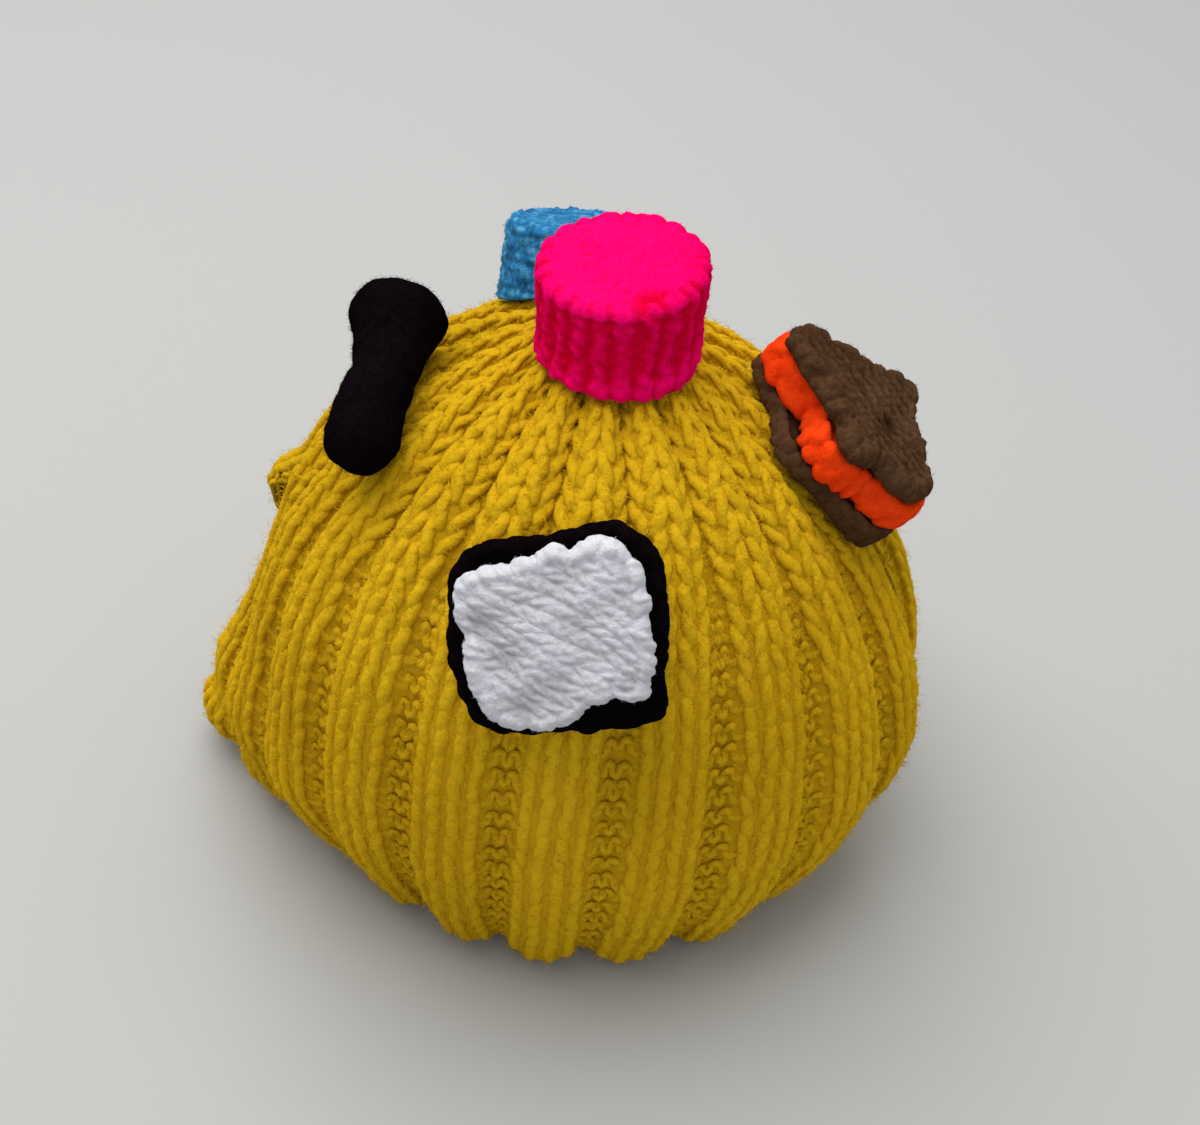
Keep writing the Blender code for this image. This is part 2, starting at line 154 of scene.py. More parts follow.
def smooth(value):
    """Smoothstep: 3 t squared minus 2 t cubed, with t held between 0 and 1."""
    t = np.clip(value, 0.0, 1.0)
    return t * t * (3.0 - 2.0 * t)


def fullness(angle):
    """Exponent of the upper curve: side value times cosine squared plus front or back value times sine
    squared."""
    sine = np.sin(angle)
    return FULL_SIDE * np.cos(angle) ** 2 + np.where(sine < 0, FULL_FRONT, FULL_BACK) * sine ** 2


def wall_radius(angle, height):
    """Radius at an angle and height: sine to the power TUCK below the belly, a superellipse above, plus a
    Gaussian corner and minus a Gaussian pinch at the left seam, and minus a Gaussian tuck of the foot."""
    cosine, sine = np.cos(angle), np.sin(angle)
    along_x = np.where(cosine > 0, BELLY_RIGHT, BELLY_LEFT)
    along_y = np.where(sine < 0, BELLY_FRONT, BELLY_BACK)
    belly = ((cosine / along_x) ** 2 + (sine / along_y) ** 2) ** -0.5
    full = fullness(angle)
    low = np.clip(height / BELLY_HEIGHT, 0.0, 1.0)
    high = np.clip((height - BELLY_HEIGHT) / (CROWN_HEIGHT - BELLY_HEIGHT), 0.0, 1.0)
    hem = HEM_RADIUS + HEM_SWAY * cosine
    foot = hem + (belly - hem) * np.sin(low * math.pi / 2) ** TUCK
    crown = belly * (1.0 - high ** full) ** (1.0 / full)
    radius = np.where(height < BELLY_HEIGHT, foot, crown)
    off_left = math.pi - np.abs(np.arctan2(sine, cosine))
    corner = (off_left / CORNER_SPREAD) ** 2 + ((height - CORNER_HEIGHT) / CORNER_TALL) ** 2
    pinch = (off_left / PINCH_SPREAD) ** 2 + ((height - PINCH_HEIGHT) / PINCH_TALL) ** 2
    off_foot = np.abs(np.arctan2(np.sin(angle - FOOT_ANGLE), np.cos(angle - FOOT_ANGLE)))
    tucked = (off_foot / FOOT_SPREAD) ** 2 + (height / FOOT_TALL) ** 2
    return radius + CORNER_OUT * np.exp(-corner) - PINCH_IN * np.exp(-pinch) - FOOT_IN * np.exp(-tucked)


def wall_height(angle, rise):
    """Height for a rise of 0 at the hem, 1 at the belly and 2 in the middle of the crown."""
    up = np.sin(np.clip(rise - 1.0, 0.0, 1.0) * math.pi / 2) ** (2.0 / fullness(angle))
    return np.where(rise < 1.0, BELLY_HEIGHT * rise, BELLY_HEIGHT + (CROWN_HEIGHT - BELLY_HEIGHT) * up)


def wall_point(angle, rise):
    """Point of the rib tops' surface, leaning to the right with the square of its height."""
    height = wall_height(angle, rise)
    radius = wall_radius(angle, height)
    lean = CROWN_LEAN * (height / CROWN_HEIGHT) ** 2
    return np.stack([radius * np.cos(angle) + lean, radius * np.sin(angle), height], axis=-1)


def wall_normal(angle, rise):
    """Outward normal: the cross product of two small steps along the surface."""
    step = 1e-4
    around = wall_point(angle + step, rise) - wall_point(angle - step, rise)
    upward = wall_point(angle, rise + step) - wall_point(angle, rise - step)
    return unit(np.cross(around, upward))


def climb_table():
    """Rise at each angle and share of the wall's length, for angles all round and equal shares."""
    angles = np.linspace(-math.pi, math.pi, CLIMB_ANGLES)
    shares = np.linspace(0.0, 1.0, CLIMB_SHARES)
    fine = np.linspace(0.0, TOP_RISE, CLIMB_POINTS)
    points = wall_point(*np.meshgrid(angles, fine, indexing="ij"))
    steps = np.linalg.norm(np.diff(points, axis=1), axis=2)
    length = np.concatenate([np.zeros((len(angles), 1)), np.cumsum(steps, axis=1)], axis=1)
    return np.array([np.interp(shares * row[-1], row, fine) for row in length])


CLIMB = climb_table()


def climb(angle, share):
    """Rise for a share of the wall's length, by bilinear reading of the climb table."""
    turn = (np.mod(angle + math.pi, 2 * math.pi)) / (2 * math.pi) * (CLIMB.shape[0] - 1)
    up = np.clip(share, 0.0, 1.0) * (CLIMB.shape[1] - 1)
    i = np.minimum(turn.astype(int), CLIMB.shape[0] - 2)
    j = np.minimum(up.astype(int), CLIMB.shape[1] - 2)
    a, b = turn - i, up - j
    low = CLIMB[i, j] * (1 - b) + CLIMB[i, j + 1] * b
    high = CLIMB[i + 1, j] * (1 - b) + CLIMB[i + 1, j + 1] * b
    return low * (1 - a) + high * a


def slit_half_width(height, slit):
    """Half of the gap: a sine along the slit, raised to SLIT_ROUND, on top of the seam's gap."""
    _, low, high, half_width = slit
    along = np.clip((height - low) / (high - low), 0.0, 1.0)
    return SEAM_GAP / 2 + half_width * np.sin(math.pi * along) ** SLIT_ROUND


def open_slits(nominal, height, radius, start, start_slit, end_slit):
    """Angles with the first and last repeat squeezed together to open the slits."""
    repeat = 2 * math.pi / REPEATS
    from_start = np.arcsin(np.clip(slit_half_width(height, start_slit) / radius, 0.0, 0.5))
    from_end = np.arcsin(np.clip(slit_half_width(height, end_slit) / radius, 0.0, 0.5))
    near_start = np.clip(1.0 - (nominal - start) / repeat, 0.0, 1.0)
    near_end = np.clip(1.0 - (start + math.pi - nominal) / repeat, 0.0, 1.0)
    return nominal + near_start * from_start - near_end * from_end


def off_wall(points):
    """About how far points lie outside the rib tops' surface."""
    lean = CROWN_LEAN * (points[..., 2] / CROWN_HEIGHT) ** 2
    x, y = points[..., 0] - lean, points[..., 1]
    above = np.clip(points[..., 2] - CROWN_HEIGHT, 0.0, None)
    return np.hypot(x, y) + above - wall_radius(np.arctan2(y, x), points[..., 2])


def wall_distance(points, direction):
    """How far points have to move along a direction to the wall, found by halving again and again."""
    outer = np.full(points.shape[:-1], SETTLE_REACH)
    inner = -outer
    for _ in range(SETTLE_ROUNDS):
        middle = (outer + inner) / 2
        outside = off_wall(points + middle[..., None] * direction) > 0
        outer = np.where(outside, middle, outer)
        inner = np.where(outside, inner, middle)
    return outer


def settle(points, direction):
    """Points moved along a direction onto the wall."""
    return points + wall_distance(points, direction)[..., None] * direction


def wall_seat(angle, height):
    """Point, outward normal, level tangent and upward tangent of the wall at an angle and height."""
    rises = np.linspace(0.0, TOP_RISE, SEAT_POINTS)
    rise = np.interp(height, wall_height(np.full_like(rises, angle), rises), rises)
    point = wall_point(np.array(angle), np.array(rise))
    normal = wall_normal(np.array(angle), np.array(rise))
    level = unit(np.array([-normal[1], normal[0], 0.0]))
    return point, normal, level, np.cross(normal, level)


# ---- Meshes --------------------------------------------------------------------------------
def new_piece(name, material, points, quads, triangles=None, uv=None):
    """A smooth-shaded object from arrays; uv has one pair for each corner of the quads, then of the
    triangles."""
    triangles = np.zeros((0, 3), int) if triangles is None else triangles
    corners = np.concatenate([quads.ravel(), triangles.ravel()])
    sizes = np.concatenate([np.full(len(quads), 4), np.full(len(triangles), 3)])
    mesh = bpy.data.meshes.new(name)
    mesh.vertices.add(len(points))
    mesh.vertices.foreach_set("co", np.ascontiguousarray(points + AXIS, dtype=np.float32).ravel())
    mesh.loops.add(len(corners))
    mesh.loops.foreach_set("vertex_index", corners.astype(np.int32))
    mesh.polygons.add(len(sizes))
    mesh.polygons.foreach_set("loop_start", np.concatenate([[0], np.cumsum(sizes)[:-1]]).astype(np.int32))
    if uv is not None:
        layer = mesh.uv_layers.new(name="strand")
        layer.data.foreach_set("uv", np.ascontiguousarray(uv, dtype=np.float32).ravel())
    mesh.update(calc_edges=True)
    mesh.shade_smooth()
    piece = bpy.data.objects.new(name, mesh)
    bpy.context.scene.collection.objects.link(piece)
    mesh.materials.append(material)
    return piece


def sheet_quads(rows, columns, closed):
    """Quads of a grid of points, whose columns close on themselves if asked."""
    across = np.arange(columns if closed else columns - 1)
    low = np.arange(rows - 1)[:, None] * columns
    after = (across + 1) % columns
    quads = np.stack([low + across, low + after, low + columns + after, low + columns + across], axis=-1)
    return quads.reshape(-1, 4)


def spokes(sides, across, outward):
    """Directions of a ring's points at each place of a path: cosine across plus sine outward."""
    turn = np.arange(sides) * 2 * math.pi / sides
    return (np.cos(turn)[None, :, None] * across[:, None, :]
            + np.sin(turn)[None, :, None] * outward[:, None, :])


def sweep_yarn(name, path, normals, radii, material):
    """A tube along a path: each ring is the path's point plus radius times (cosine across, sine outward), a
    little flatter outward and tufted. Its ends close in a point. The uv is millimetres along, and turns
    round."""
    count, sides = len(path), YARN_SIDES
    tangent = unit(np.gradient(path, axis=0))
    across = unit(np.cross(tangent, normals))
    spoke = spokes(sides, across, YARN_FLAT * np.cross(across, tangent))
    tuft = np.random.default_rng(count).normal(0.0, TUFT_UNEVEN, (count, sides))
    tuft = 1.0 + tuft + np.roll(tuft, 1, axis=0)
    rings = path[:, None, :] + (radii[:, None] * tuft)[..., None] * spoke
    points = np.concatenate([rings.reshape(-1, 3), [path[0] - tangent[0] * radii[0]],
                             [path[-1] + tangent[-1] * radii[-1]]])
    quads = sheet_quads(count, sides, True)[:, ::-1]
    side = np.arange(sides)
    after = (side + 1) % sides
    last = (count - 1) * sides
    first_cap = np.stack([side, after, np.full(sides, count * sides)], axis=-1)
    last_cap = np.stack([last + after, last + side, np.full(sides, count * sides + 1)], axis=-1)
    along = np.concatenate([[0.0], np.cumsum(np.linalg.norm(np.diff(path, axis=0), axis=1))]) * 1000.0
    ring_of, side_of = np.divmod(quads, sides)
    wrapped = (quads % sides == 0) & (np.max(quads % sides, axis=1, keepdims=True) == sides - 1)
    uv = np.stack([along[ring_of], (side_of + wrapped * sides) / sides], axis=-1).reshape(-1, 2)
    caps = np.concatenate([first_cap, last_cap])
    cap_uv = np.stack([np.where(caps >= last, along[-1], 0.0), (caps % sides) / sides], axis=-1)
    return new_piece(name, material, points, quads, caps, np.concatenate([uv, cap_uv.reshape(-1, 2)]))


def point_normals(points, quads):
    """Normal at each point: the sum of the cross products of its quads' diagonals."""
    corner = points[quads]
    face = np.cross(corner[:, 2] - corner[:, 0], corner[:, 3] - corner[:, 1])
    normals = np.zeros_like(points)
    for index in range(4):
        np.add.at(normals, quads[:, index], face)
    return unit(normals)


# ---- Materials -----------------------------------------------------------------------------
ROUGHNESS = 0.92
SHEEN_ROUGHNESS = 0.45
FIBRE_TALL = 0.0006          # height of the fibre noise in the bump
FIBRE_STRENGTH = 0.8
PLY_TALL = 0.0003            # and of the twisted plies
PLY_PITCH = 2.4              # millimetres of yarn in one turn of a ply
PLIES = 2
FLECK_SHARE = 0.45           # share of the fine flecks in the drift of the colour
BLOTCH_SHARE = 0.55          # and of the blotches
FURROW_SHADE_DARK = 0.2            # painted shade in furrows: its colour over the deep shade, where none is given


def calculate(tree, operation, *values):
    """Result of a Math node; each value is a number, or the socket that gives it."""
    node = tree.nodes.new("ShaderNodeMath")
    node.operation = operation
    for socket, value in zip(node.inputs, values):
        if isinstance(value, float):
            socket.default_value = value
        else:
            tree.links.new(value, socket)
    return node.outputs[0]


def noise(tree, place, scale, detail, roughness):
    """Value of a Noise node at a place."""
    node = tree.nodes.new("ShaderNodeTexNoise")
    node.inputs["Scale"].default_value = scale
    node.inputs["Detail"].default_value = detail
    node.inputs["Roughness"].default_value = roughness
    tree.links.new(place, node.inputs["Vector"])
    return node.outputs["Fac"]


def bump(tree, height, strength, tall):
    """A Bump node for a height of 0 to 1, with a strength and a real height in metres."""
    node = tree.nodes.new("ShaderNodeBump")
    node.inputs["Strength"].default_value = strength
    node.inputs["Distance"].default_value = tall
    tree.links.new(height, node.inputs["Height"])
    return node


def drift(tree, value, deep, colour, pale):
    """Colour of a ramp from a deep shade through the wool's own to a pale one."""
    node = tree.nodes.new("ShaderNodeValToRGB")
    stops = node.color_ramp.elements
    for stop, position, shade in ((stops[0], 0.30, deep), (stops[1], 0.70, pale)):
        stop.position = position
        stop.color = (*shade, 1.0)
    stops.new(0.50).color = (*colour, 1.0)
    tree.links.new(value, node.inputs["Fac"])
    return node.outputs["Color"]


def paint_furrow_shade(tree, colour, furrow_shade_colour, weight):
    """Painted shade: the colour mixed with the furrow colour by the piece's own hollow attribute times a
    weight.
    """
    hollow = tree.nodes.new("ShaderNodeAttribute")
    hollow.attribute_name = "hollow"
    mix = tree.nodes.new("ShaderNodeMix")
    mix.data_type = "RGBA"
    mix.inputs["B"].default_value = (*furrow_shade_colour, 1.0)
    tree.links.new(calculate(tree, "MULTIPLY", hollow.outputs["Fac"], weight), mix.inputs["Factor"])
    tree.links.new(colour, mix.inputs["A"])
    return mix.outputs["Result"]


def ply_bump(tree, strength):
    """Plies: a sine of (millimetres along the strand over the pitch, plus the plies' turns round it)."""
    strand = tree.nodes.new("ShaderNodeUVMap")
    strand.uv_map = "strand"
    split = tree.nodes.new("ShaderNodeSeparateXYZ")
    tree.links.new(strand.outputs["UV"], split.inputs[0])
    along = calculate(tree, "MULTIPLY", split.outputs["X"], 2 * math.pi / PLY_PITCH)
    phase = calculate(tree, "MULTIPLY_ADD", split.outputs["Y"], 2 * math.pi * PLIES, along)
    return bump(tree, calculate(tree, "SINE", phase), strength, PLY_TALL)


def wool(name, colour, deep, pale, twist=0.0, blotch=22.0, gloss=0.0, sheen=0.25, furrow_shade=0.0,
         furrow_shade_colour=None, grain=900.0):
    """Wool: the colour drifts between a deep and a pale shade in blotches and fine flecks, and goes over to
    the furrow colour, given or else the deep shade's fifth, as painted shade in furrows and hollows. The bump
    is fine fibre noise and, along a strand's uv, its twisted plies."""
    material = bpy.data.materials.new(name)
    material.use_nodes = True
    tree = material.node_tree
    shader = tree.nodes["Principled BSDF"]
    for socket, value in (("Roughness", ROUGHNESS), ("Specular IOR Level", gloss), ("Sheen Weight", sheen),
                          ("Sheen Roughness", SHEEN_ROUGHNESS), ("Sheen Tint", (*pale, 1.0))):
        shader.inputs[socket].default_value = value
    place = tree.nodes.new("ShaderNodeTexCoord").outputs["Object"]
    flecks = noise(tree, place, scale=grain, detail=4.0, roughness=0.7)
    blotches = noise(tree, place, scale=blotch, detail=3.0, roughness=0.5)
    blotches = calculate(tree, "MULTIPLY", blotches, BLOTCH_SHARE)
    shade = drift(tree, calculate(tree, "MULTIPLY_ADD", flecks, FLECK_SHARE, blotches), deep, colour, pale)
    # painted shade: the colour darkens where the piece's surface lies low
    if furrow_shade > 0.0:
        shade = paint_furrow_shade(tree, shade, furrow_shade_colour or [FURROW_SHADE_DARK * part for part in deep], furrow_shade)
    tree.links.new(shade, shader.inputs["Base Color"])
    fibres = bump(tree, flecks, FIBRE_STRENGTH, FIBRE_TALL)
    tree.links.new(fibres.outputs["Normal"], shader.inputs["Normal"])
    if twist > 0.0:
        tree.links.new(ply_bump(tree, twist).outputs["Normal"], fibres.inputs["Normal"])
    return material


#        each wool's own colour, its deep shade and its pale one; a furrow weight paints shade into a piece's
#        low places
YELLOW = wool("yellow_yarn", (0.66, 0.39, 0.009), (0.52, 0.300, 0.007), (0.84, 0.53, 0.016),
              twist=0.2, sheen=0.5, grain=1300.0)
# painted light: the loose fibres are paler than the yarn, as light shines through them
YELLOW_FUZZ_LIT = wool("yellow_fuzz", (0.80, 0.50, 0.014), (0.68, 0.41, 0.010), (0.90, 0.58, 0.020), sheen=0.3)
# painted shade: the cloth between the strands is a darker yellow, the yarn behind them in shade
YELLOW_SHADED_CLOTH = wool("yellow_cloth", (0.56, 0.325, 0.007), (0.44, 0.250, 0.006), (0.68, 0.41, 0.011), sheen=0.4)
# the pink's furrow colour is a deep red, painted shade in its furrows and down its side
PINK = wool("pink_wool", (0.88, 0.0015, 0.125), (0.74, 0.001, 0.060), (0.97, 0.004, 0.175),
            furrow_shade=0.8, furrow_shade_colour=(0.58, 0.0005, 0.003))
BLACK = wool("black_wool", (0.0036, 0.0020, 0.0028), (0.0016, 0.0009, 0.0013), (0.0072, 0.0045, 0.0060),
             sheen=0.03)
WHITE = wool("white_wool", (0.62, 0.615, 0.66), (0.52, 0.51, 0.55), (0.72, 0.71, 0.75),
             sheen=0.1, furrow_shade=0.34)
BROWN = wool("brown_wool", (0.073, 0.034, 0.016), (0.036, 0.015, 0.007), (0.120, 0.065, 0.034),
             sheen=0.08, furrow_shade=0.7)
ORANGE = wool("orange_wool", (0.95, 0.055, 0.006), (0.72, 0.026, 0.003), (1.0, 0.080, 0.010), furrow_shade=0.3)
# the blue's pale speckles are painted glints of its glitter thread; its navy ones are its own tone
BLUE = wool("blue_wool", (0.012, 0.170, 0.380), (0.002, 0.040, 0.150), (0.110, 0.420, 0.640),
            blotch=420.0, gloss=0.25, sheen=0.15, furrow_shade=0.4)


# ---- The panels ----------------------------------------------------------------------------
def knit_share(radius):
    """Share of a repeat that its two knit stitches take: more of it as the crown draws in."""
    repeat = 2 * math.pi * radius / REPEATS
    return np.clip(2 * KNIT_WIDTH / repeat, 0.0, 1.0 - PURL_LEAST)


def groove_share(place):
    """1 in the middle of a purl groove and 0 between two: a raised cosine to the power GROOVE_ROUND."""
    return (0.5 + 0.5 * np.cos(2 * math.pi * place)) ** GROOVE_ROUND


def rib_depth(place, radius):
    """Depth below the rib tops, which fades towards the middle of the crown."""
    return RIB_GROOVE * groove_share(place) * np.clip(radius / GROOVE_FADE, 0.0, 1.0)


def draw_in(row):
    """0 at the belly to 1 at the crown: how far the stitches of a row have drawn together."""
    return smooth((row / COURSES - DRAW_FROM) / DRAW_OVER)


def lip(side, angle, height):
    """How far a slit's edge stands out: Gaussians in the angle from its seam and in the height, summed."""
    off_right = np.abs(np.arctan2(np.sin(angle), np.cos(angle)))
    total = 0.0
    for end, off in (("left", math.pi - off_right), ("right", off_right)):
        for middle, tall, far, spread in LIPS[side, end]:
            total = total + far * np.exp(-((height - middle) / tall) ** 2 - (off / math.radians(spread)) ** 2)
    return total


def on_panel(panel, place, row, lift):
    """Points and normals for a place across the panel in repeats, a row, and a lift off mid-cloth."""
    side, start, start_slit, end_slit = panel
    nominal = start + place * 2 * math.pi / REPEATS
    rise = climb(nominal, row / COURSES_TO_TOP)
    height = wall_height(nominal, rise)
    radius = wall_radius(nominal, height)
    angle = open_slits(nominal, height, radius, start, start_slit, end_slit)
    normal = wall_normal(angle, rise)
    scallop = HEM_SCALLOP * np.clip(np.cos(2 * math.pi * place), 0.0, 1.0) * np.exp(-height / SCALLOP_TALL)
    sunk = rib_depth(place, radius) + YARN_FLAT * YARN_RADIUS + LEG_OUT - lift - lip(side, angle, height)
    points = wall_point(angle, rise) - normal * sunk[..., None]
    points[..., 2] += scallop
    return points, normal


def stitch_edges(share, purled, inside):
    """Left and right edge, in shares of the repeat, of the stitch with that number inside it. The two knit
    stitches lie in the middle of the repeat, and half a purl groove on each side of them."""
    none = np.zeros_like(share)
    middle = none + 0.5
    knit = [0.5 - share / 2, middle, 0.5 + share / 2] if purled else [middle]
    edges = np.stack([none, *knit, none + 1.0])
    return (np.take_along_axis(edges, inside[None], axis=0)[0],
            np.take_along_axis(edges, inside[None] + 1, axis=0)[0])


def course_path(panel, row, rng):
    """The yarn of one row, from its first seam to its last. In a stitch with phase p the yarn is at
    (u + omega sin 2p (1 + lean cos p), -reach cos p, leg-out times 1 - 2 |cos p| to the power steep); purl
    stitches turn the last term round. Where the knit stitches close over them, the purl ones sink in."""
    purled = row < PURL_COURSES
    kinds = np.tile([-1.0, 1.0, 1.0, -1.0] if purled else [1.0, 1.0], REPEATS // 2)
    count = len(kinds)
    stitch = np.append(np.repeat(np.arange(count), SAMPLES), count - 1)
    u = np.append(np.tile(np.arange(SAMPLES) / SAMPLES, count), 1.0)
    phase = 2 * math.pi * u
    before = np.append([kinds[0]], kinds[:-1])[stitch] != kinds[stitch]
    after = np.append(kinds[1:], [kinds[-1]])[stitch] != kinds[stitch]
    ease = np.minimum(np.where(before, u / TURN_OVER, 1.0), np.where(after, (1.0 - u) / TURN_OVER, 1.0))
    side = kinds[stitch] * smooth(ease)
    knots = np.arange(count + 1)
    shift, raise_by, stand, thick = (
        np.interp(stitch + u, knots, rng.normal(mean, spread, count + 1)) for mean, spread in UNEVEN)
    drawn = draw_in(row)
    omega = OMEGA_LOW + (OMEGA_HIGH - OMEGA_LOW) * drawn
    repeat, inside = np.divmod(stitch, count // (REPEATS // 2))
    level = FIRST_ROW + row - LOOP_REACH * np.cos(phase) + raise_by
    nominal = panel[1] + (repeat + 0.5) * 2 * math.pi / REPEATS
    radius = wall_radius(nominal, wall_height(nominal, climb(nominal, level / COURSES_TO_TOP)))
    share = knit_share(radius)
    low, high = stitch_edges(share, purled, inside)
    lean = 1.0 + LEAN_EVEN * np.cos(phase)
    bend = u + omega * np.sin(2 * phase) * lean + shift * np.sin(phase / 2) ** 2
    place = np.clip(repeat + low + (high - low) * bend, 0.0, REPEATS / 2)
    knit_width = (share / 2 if purled else high - low) * 2 * math.pi * radius / REPEATS
    radii = np.clip((YARN_LOW + (YARN_HIGH - YARN_LOW) * drawn) * knit_width, YARN_LEAST, YARN_RADIUS)
    sunk = np.zeros_like(u)
    if purled:
        radii = radii * (PURL_THIN + (1.0 - PURL_THIN) * (0.5 + 0.5 * side))
        closing = 1.0 - smooth((CLOSE_AT - share) / CLOSE_OVER)
        sunk = np.where(kinds[stitch] < 0, closing * PURL_SINK, 0.0)
    steep = np.where(side < 0, LEG_SINE, LEG_STEEP + (LEG_SINE - LEG_STEEP) * drawn)
    leg_out = LEG_OUT * (1.0 - LEG_CALM * drawn)
    lift = leg_out * (1.0 - 2.0 * np.abs(np.cos(phase)) ** steep) * side + stand - sunk
    points, normal = on_panel(panel, place, level, lift)
    return points, normal, radii * thick


def panel_yarn(name, panel, rows, rng):
    """One long strand worked back and forth over some rows."""
    courses = []
    for row in rows:
        course = course_path(panel, row, rng)
        courses.append([part[::-1] for part in course] if row % 2 else course)
    path, normals, radii = (np.concatenate(parts) for parts in zip(*courses))
    return sweep_yarn(name, path, normals, radii, YELLOW)


def panel_cloth(name, panel):
    """The felted cloth between the strands, coloured a darker yellow as painted shade of the yarn behind
    them: a grid over the panel, filled less in the purl grooves and towards the crown."""
    places = np.linspace(0.0, REPEATS / 2, CLOTH_STEPS * REPEATS // 2 + 1)
    rows = np.linspace(CLOTH_FOOT, COURSES_TO_TOP, CLOTH_ROWS)
    row, place = np.meshgrid(rows, places, indexing="ij")
    low = CLOTH_LOW + (CLOTH_PURL - CLOTH_LOW) * groove_share(place)
    points, _ = on_panel(panel, place, row, low + (CLOTH_HIGH - low) * draw_in(row))
    return new_piece(name, YELLOW_SHADED_CLOTH, points.reshape(-1, 3), sheet_quads(*place.shape, False))


def build_panel(side, start, start_slit, end_slit, seed):
    """Cloth and yarn of one half of the cosy."""
    rng = np.random.default_rng(seed)
    panel = (side, start, start_slit, end_slit)
    cloth = panel_cloth("cloth_" + side, panel)
    half = COURSES // 2
    yarn = [
        panel_yarn("yarn_low_" + side, panel, range(0, half), rng),
        panel_yarn("yarn_high_" + side, panel, range(half, COURSES), rng),
    ]
    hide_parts("cosy_" + side)
    for piece in [cloth, *yarn]:
        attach(piece, "root")
    return yarn


FRONT_YARN = build_panel("front", -math.pi, LEFT_SLIT, RIGHT_SLIT, 11)
BACK_YARN = build_panel("back", 0.0, RIGHT_SLIT, LEFT_SLIT, 12)


# ---- Sweets --------------------------------------------------------------------------------
LAYER_GAP = 0.0003           # between a sweet and what it lies on
RIM_DEPTH = 0.0024           # how far a square's rounded rim reaches in from its edge
RIM_RINGS = 14               # rings round that rim, its ends included
UNDER_RINGS = 7              # and underneath
FACE_INNER = 0.02            # share of the way out at which the rings of a face or top begin
UNDER_INNER = 0.05           # the same underneath
OUTLINE_EVEN = 14            # half degrees on each side that a square's outline is smoothed over
LOWEST_SQUEEZE = 0.8         # how far the wall may push up the lowest square's underside, in its thickness
DRUM_EDGE = 0.0022           # radius of a drum's rounded edge
DRUM_UNDER = np.array([0.1, 0.5, 0.9, 1.0])      # rings underneath, as shares of the foot's radius
DRUM_SETTLE = 1.3            # how soon the side leaves its foot's place and width: 1 is evenly
EDGE_PAINTED_SHADE = 0.4             # share of the side's painted shade on the rounded edge
UNDER, SIDE, EDGE, TOP = 0, 1, 2, 3              # where on a drum a ring lies
PINK_RADIUS = 0.0166
PINK_HEIGHT = 0.0184
PINK_RIBS = 21               # ribs round the pink drum's side
BLUE_RADIUS = 0.0131
BLUE_HEIGHT = 0.0141
BLUE_PAIR = 0.0034           # length of two bobbles along the blue drum's side
BLUE_ROW = 0.0019            # and height of a row of them
ROLL_TIP = 0.90              # length of the roll's ends over its radius there
ROLL_TOP_FLAT = 0.80         # and the share of it that the last end keeps
ROLL_INSET = 0.0003          # how far the roll's surface lies inside its solid
ROLL_RINGS = 96              # rings along the roll, and in each of its ends
ROLL_TIP_RINGS = 11
ROLL_TIP_INNER = 0.08        # where the rings of an end begin, as a share of its quarter turn
ROLL_SIDES = 112
PAINTED_SHADE_SPAN = 2.2            # depth below the mean, in standard deviations, that counts as a full hollow, fully darkened as painted shade


def closed_rings(name, material, rings, first, last, relief, shade=None):
    """A closed body from rings of points and a point at each end. Every point moves out along its normal by
    its relief, and its hollow attribute, the weight of its painted shade, is how far it stays below the mean,
    plus its ring's painted shade. Faces are turned to face outward by the sign of the enclosed volume."""
    rows, around = rings.shape[:2]
    points = np.concatenate([rings.reshape(-1, 3), [first], [last]])
    side = np.arange(around)
    after = (side + 1) % around
    end = (rows - 1) * around
    quads = sheet_quads(rows, around, True)
    caps = np.concatenate([
        np.stack([after, side, np.full(around, rows * around)], axis=-1),
        np.stack([end + side, end + after, np.full(around, rows * around + 1)], axis=-1),
    ])
    corner = points[quads] - points.mean(axis=0)
    volume = np.einsum("ij,ij->i", corner[:, 0], np.cross(corner[:, 1], corner[:, 2])).sum()
    if volume < 0:
        quads, caps = quads[:, ::-1], caps[:, ::-1]
    normals = point_normals(points, quads)
    normals[-2] = unit(normals[:around].mean(axis=0))
    normals[-1] = unit(normals[end:end + around].mean(axis=0))
    lift = np.concatenate([relief.ravel(), [relief[0].mean()], [relief[-1].mean()]])
    piece = new_piece(name, material, points + normals * lift[:, None], quads, caps)
    # the hollow attribute weighs the painted shade: darker in low places and on shaded rings
    hollow = piece.data.attributes.new("hollow", "FLOAT", "POINT")
    below = (lift.mean() - lift) / (PAINTED_SHADE_SPAN * lift.std() + 1e-9)
    if shade is not None:
        below = below + np.append(np.repeat(shade, around), [shade[0], shade[-1]])
    hollow.data.foreach_set("value", np.clip(below, 0.0, 1.0).astype(np.float32))
    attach(piece, "root")
    return piece


def stocking(column, row):
    """Relief of stocking stitch, 0 between the legs to 1 on them. A leg is an ellipse round the slanted line
    from (0.13, 0) to (0.37, 1) beside its column's middle, 0.17 wide and 0.85 tall from its own middle, and
    three rows overlap."""
    beside = np.abs(column - np.floor(column) - 0.5)
    best = np.zeros(np.broadcast(column, row).shape)
    for neighbour in (-1, 0, 1):
        along = row - np.floor(row) - neighbour
        off_line = (beside - 0.13 - 0.24 * along) / 0.17
        off_middle = (along - 0.5) / 0.85
        best = np.maximum(best, np.sqrt(np.clip(1.0 - off_line ** 2 - off_middle ** 2, 0.0, 1.0)))
    return best


